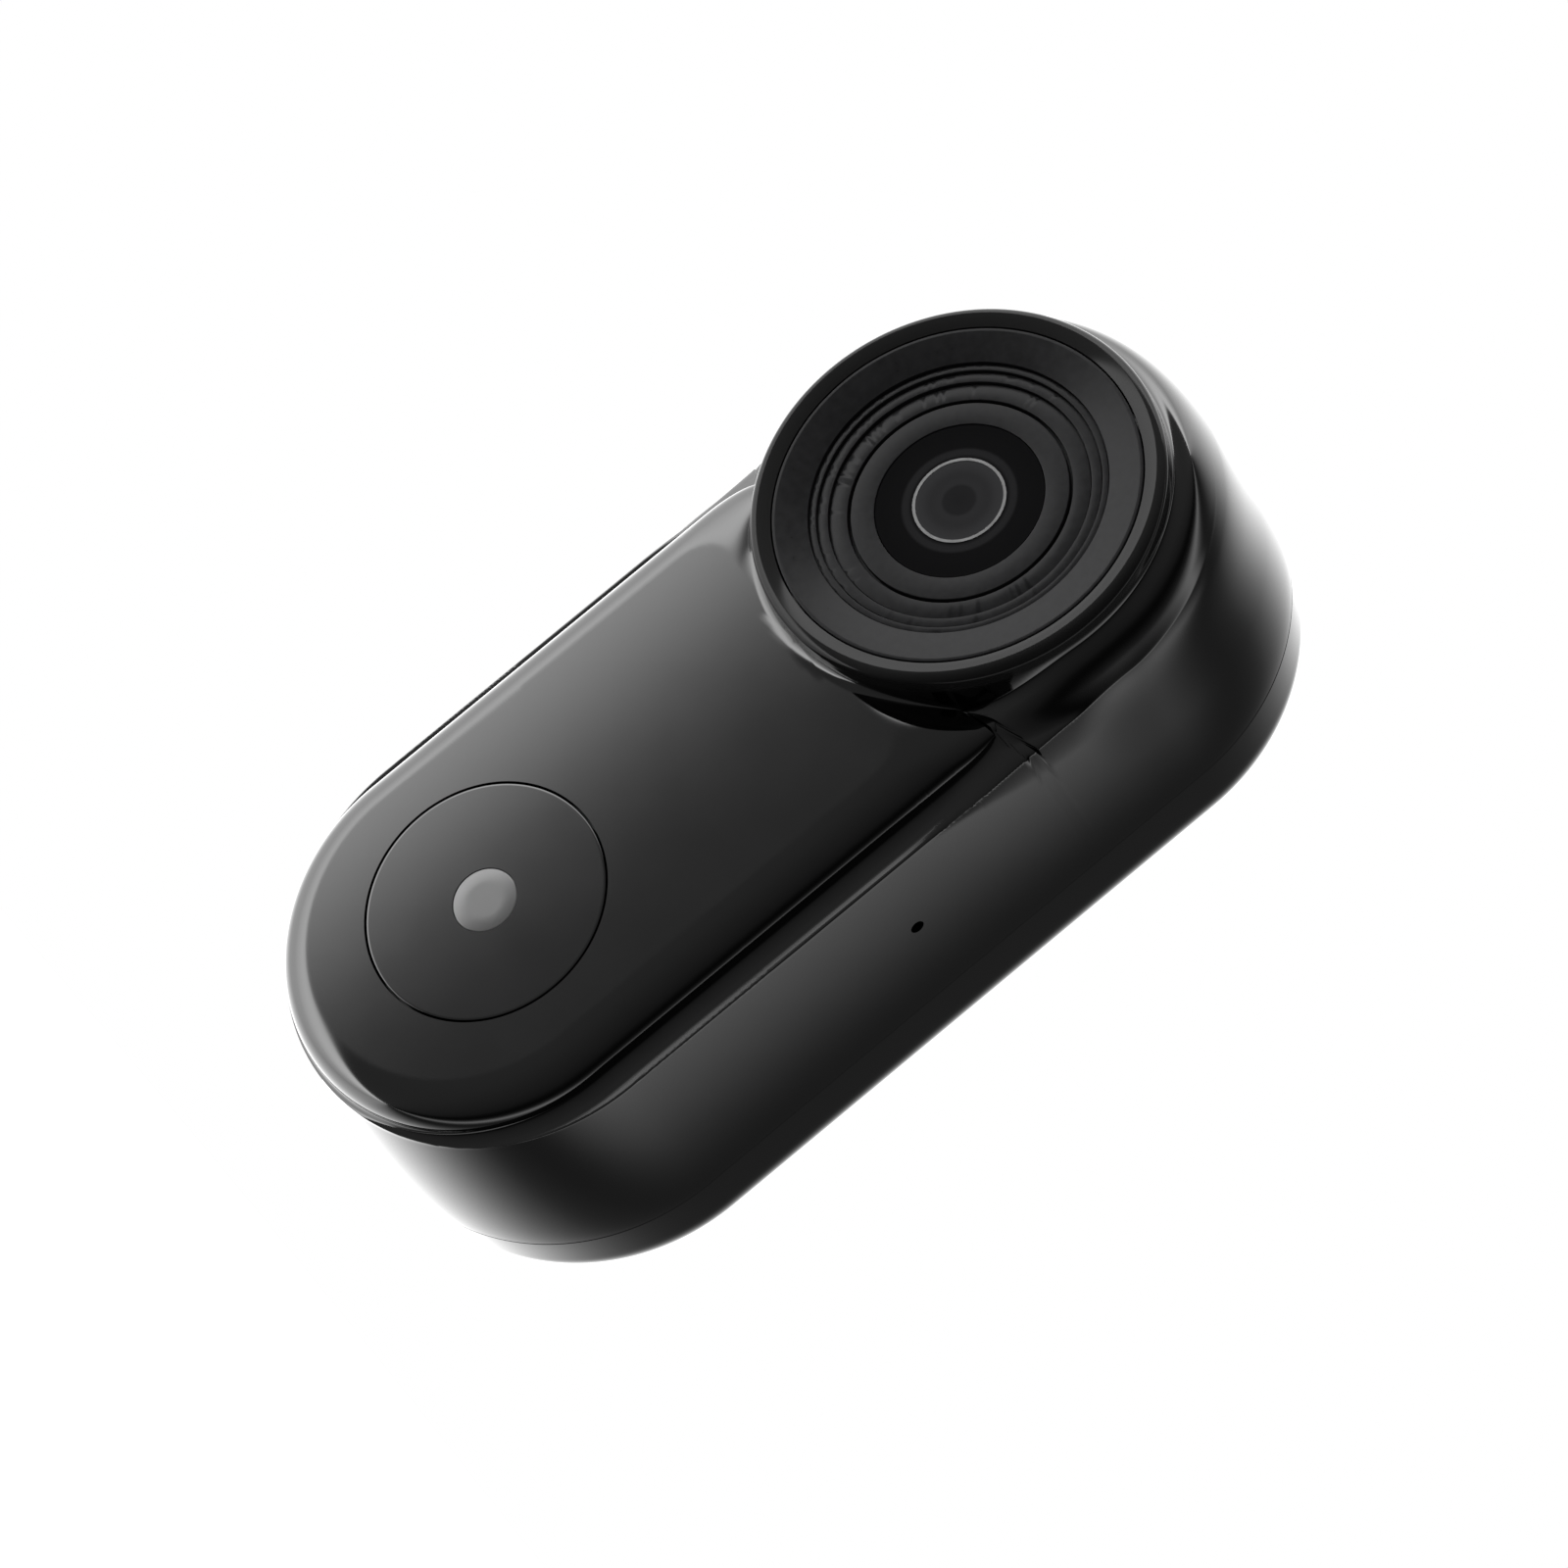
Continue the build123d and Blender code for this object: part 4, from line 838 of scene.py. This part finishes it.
slot_of = {entry["node"]: entry["material_slot"] for entry in record["subparts"]}


def dress(obj, slot_name):
    """Gives an object its one material."""
    obj.data.materials.clear()
    obj.data.materials.append(materials[slot_name])


for name, obj in nodes.items():
    for entry in obj.material_slots:
        entry.material = materials[slot_of[name]]
new_pieces = ((front_skin, "shell_gloss"), (rear_skin, "shell_gloss"), (button, "button_gloss"),
              (window, "light_grey"), (guard, "guard_matt"), (retainer, "guard_flat"))
for obj, slot_name in new_pieces:
    dress(obj, slot_name)

# ---------------------------------------------------------------- stage, lights and camera

FLOOR_DROP = 0.09
FLOOR_RADIUS = 0.5
floor_level = cad_box[0][2] - FLOOR_DROP
floor_mesh = bpy.data.meshes.new("floor")
FLOOR_STEPS = 96
turns = [2 * math.pi * i / FLOOR_STEPS for i in range(FLOOR_STEPS)]
rim = [(FLOOR_RADIUS * math.cos(a), FLOOR_RADIUS * math.sin(a), floor_level) for a in turns]
floor_mesh.from_pydata(rim, [], [tuple(range(FLOOR_STEPS))])
floor = bpy.data.objects.new("floor", floor_mesh)
bpy.context.scene.collection.objects.link(floor)
floor_mat = bpy.data.materials.new("floor_pale")
floor_mat.use_nodes = True
floor_shader = floor_mat.node_tree.nodes["Principled BSDF"]
floor_shader.inputs["Base Color"].default_value = (0.9, 0.9, 0.9, 1)
floor_shader.inputs["Roughness"].default_value = 0.9
floor_shader.inputs["Specular IOR Level"].default_value = 0.0
floor_shader.inputs["Emission Color"].default_value = (1, 1, 1, 1)
floor_shader.inputs["Emission Strength"].default_value = 0.85
floor_mesh.materials.append(floor_mat)
floor.visible_glossy = False
floor.visible_diffuse = False

world = bpy.data.worlds.new("studio")
bpy.context.scene.world = world
world.use_nodes = True
wt = world.node_tree
wt.nodes.clear()
coord = wt.nodes.new("ShaderNodeTexCoord")


def by_azimuth(stops, full):
    """Studio brightness as a soft function of the compass direction, in degrees from +X towards +Y."""
    parts = wt.nodes.new("ShaderNodeSeparateXYZ")
    wt.links.new(coord.outputs["Generated"], parts.inputs["Vector"])
    turn = wt.nodes.new("ShaderNodeMath")
    turn.operation = "ARCTAN2"
    wt.links.new(parts.outputs["Y"], turn.inputs[0])
    wt.links.new(parts.outputs["X"], turn.inputs[1])
    share = wt.nodes.new("ShaderNodeMapRange")
    share.inputs["From Min"].default_value = -math.pi
    share.inputs["From Max"].default_value = math.pi
    wt.links.new(turn.outputs["Value"], share.inputs["Value"])
    ramp = wt.nodes.new("ShaderNodeValToRGB")
    ramp.color_ramp.interpolation = "B_SPLINE"
    marks = ramp.color_ramp.elements
    while len(marks) < len(stops):
        marks.new(0.5)
    for mark, (azimuth, value) in zip(marks, stops):
        mark.position = (azimuth + 180) / 360
        mark.color = (value / full, value / full, value / full, 1)
    wt.links.new(share.outputs["Result"], ramp.inputs["Fac"])
    scaled = wt.nodes.new("ShaderNodeMath")
    scaled.operation = "MULTIPLY"
    scaled.inputs[1].default_value = full
    wt.links.new(ramp.outputs["Color"], scaled.inputs[0])
    return scaled


# bright soft boxes to the left and behind, a narrow strip that the wall's top reflects, dark between them
AROUND = [(-180, 2.8), (-155, 4.5), (-140, 7.0), (-131, 8.0), (-126.3, 7.6), (-124.3, 1.1), (-122, 0.36),
          (-117, 0.36), (-90, 0.36), (-60, 0.3), (-25, 0.22), (0, 0.15), (15, 0.02), (32, 0.02), (38, 0.9),
          (43, 2.0), (47, 1.0), (52, 0.25), (57, 0.1), (64, 0.1), (75, 0.2), (90, 0.9), (105, 2.0),
          (120, 2.8), (150, 3.1), (180, 2.8)]
FULL_LEVEL = 8.0
base_level = by_azimuth(AROUND, FULL_LEVEL)
out = wt.nodes.new("ShaderNodeOutputWorld")
background = wt.nodes.new("ShaderNodeBackground")
sky = wt.nodes.new("ShaderNodeBackground")
mix = wt.nodes.new("ShaderNodeMixShader")
path = wt.nodes.new("ShaderNodeLightPath")
wt.links.new(base_level.outputs["Value"], sky.inputs["Strength"])
background.inputs["Strength"].default_value = 1.0
background.inputs["Color"].default_value = (1, 1, 1, 1)
sky.inputs["Color"].default_value = (1, 1, 1, 1)
wt.links.new(path.outputs["Is Camera Ray"], mix.inputs["Fac"])
wt.links.new(sky.outputs["Background"], mix.inputs[1])
wt.links.new(background.outputs["Background"], mix.inputs[2])
wt.links.new(mix.outputs["Shader"], out.inputs["Surface"])

scene = bpy.context.scene
cam_data = bpy.data.cameras.new("camera_view")
cam_data.lens = 73.65
cam_data.sensor_width = 36.0
cam_data.clip_start = 0.01
cam_data.clip_end = 20
cam = bpy.data.objects.new("camera_view", cam_data)
right = Vector((0.5605, 0.3028, 0.7709)).normalized()
back = Vector((0.5214, -0.8521, -0.0444)).normalized()
up = back.cross(right).normalized()
right = up.cross(back).normalized()
seam = Vector((0.0, -GUARD_TOP * MM, LENS * MM))
cam.matrix_world = Matrix.Translation(seam + Vector((0.07964, -0.11997, -0.02075))) @ Matrix((
    (right.x, up.x, back.x), (right.y, up.y, back.y), (right.z, up.z, back.z))).to_4x4()
scene.collection.objects.link(cam)
scene.camera = cam
scene.view_settings.view_transform = "Standard"
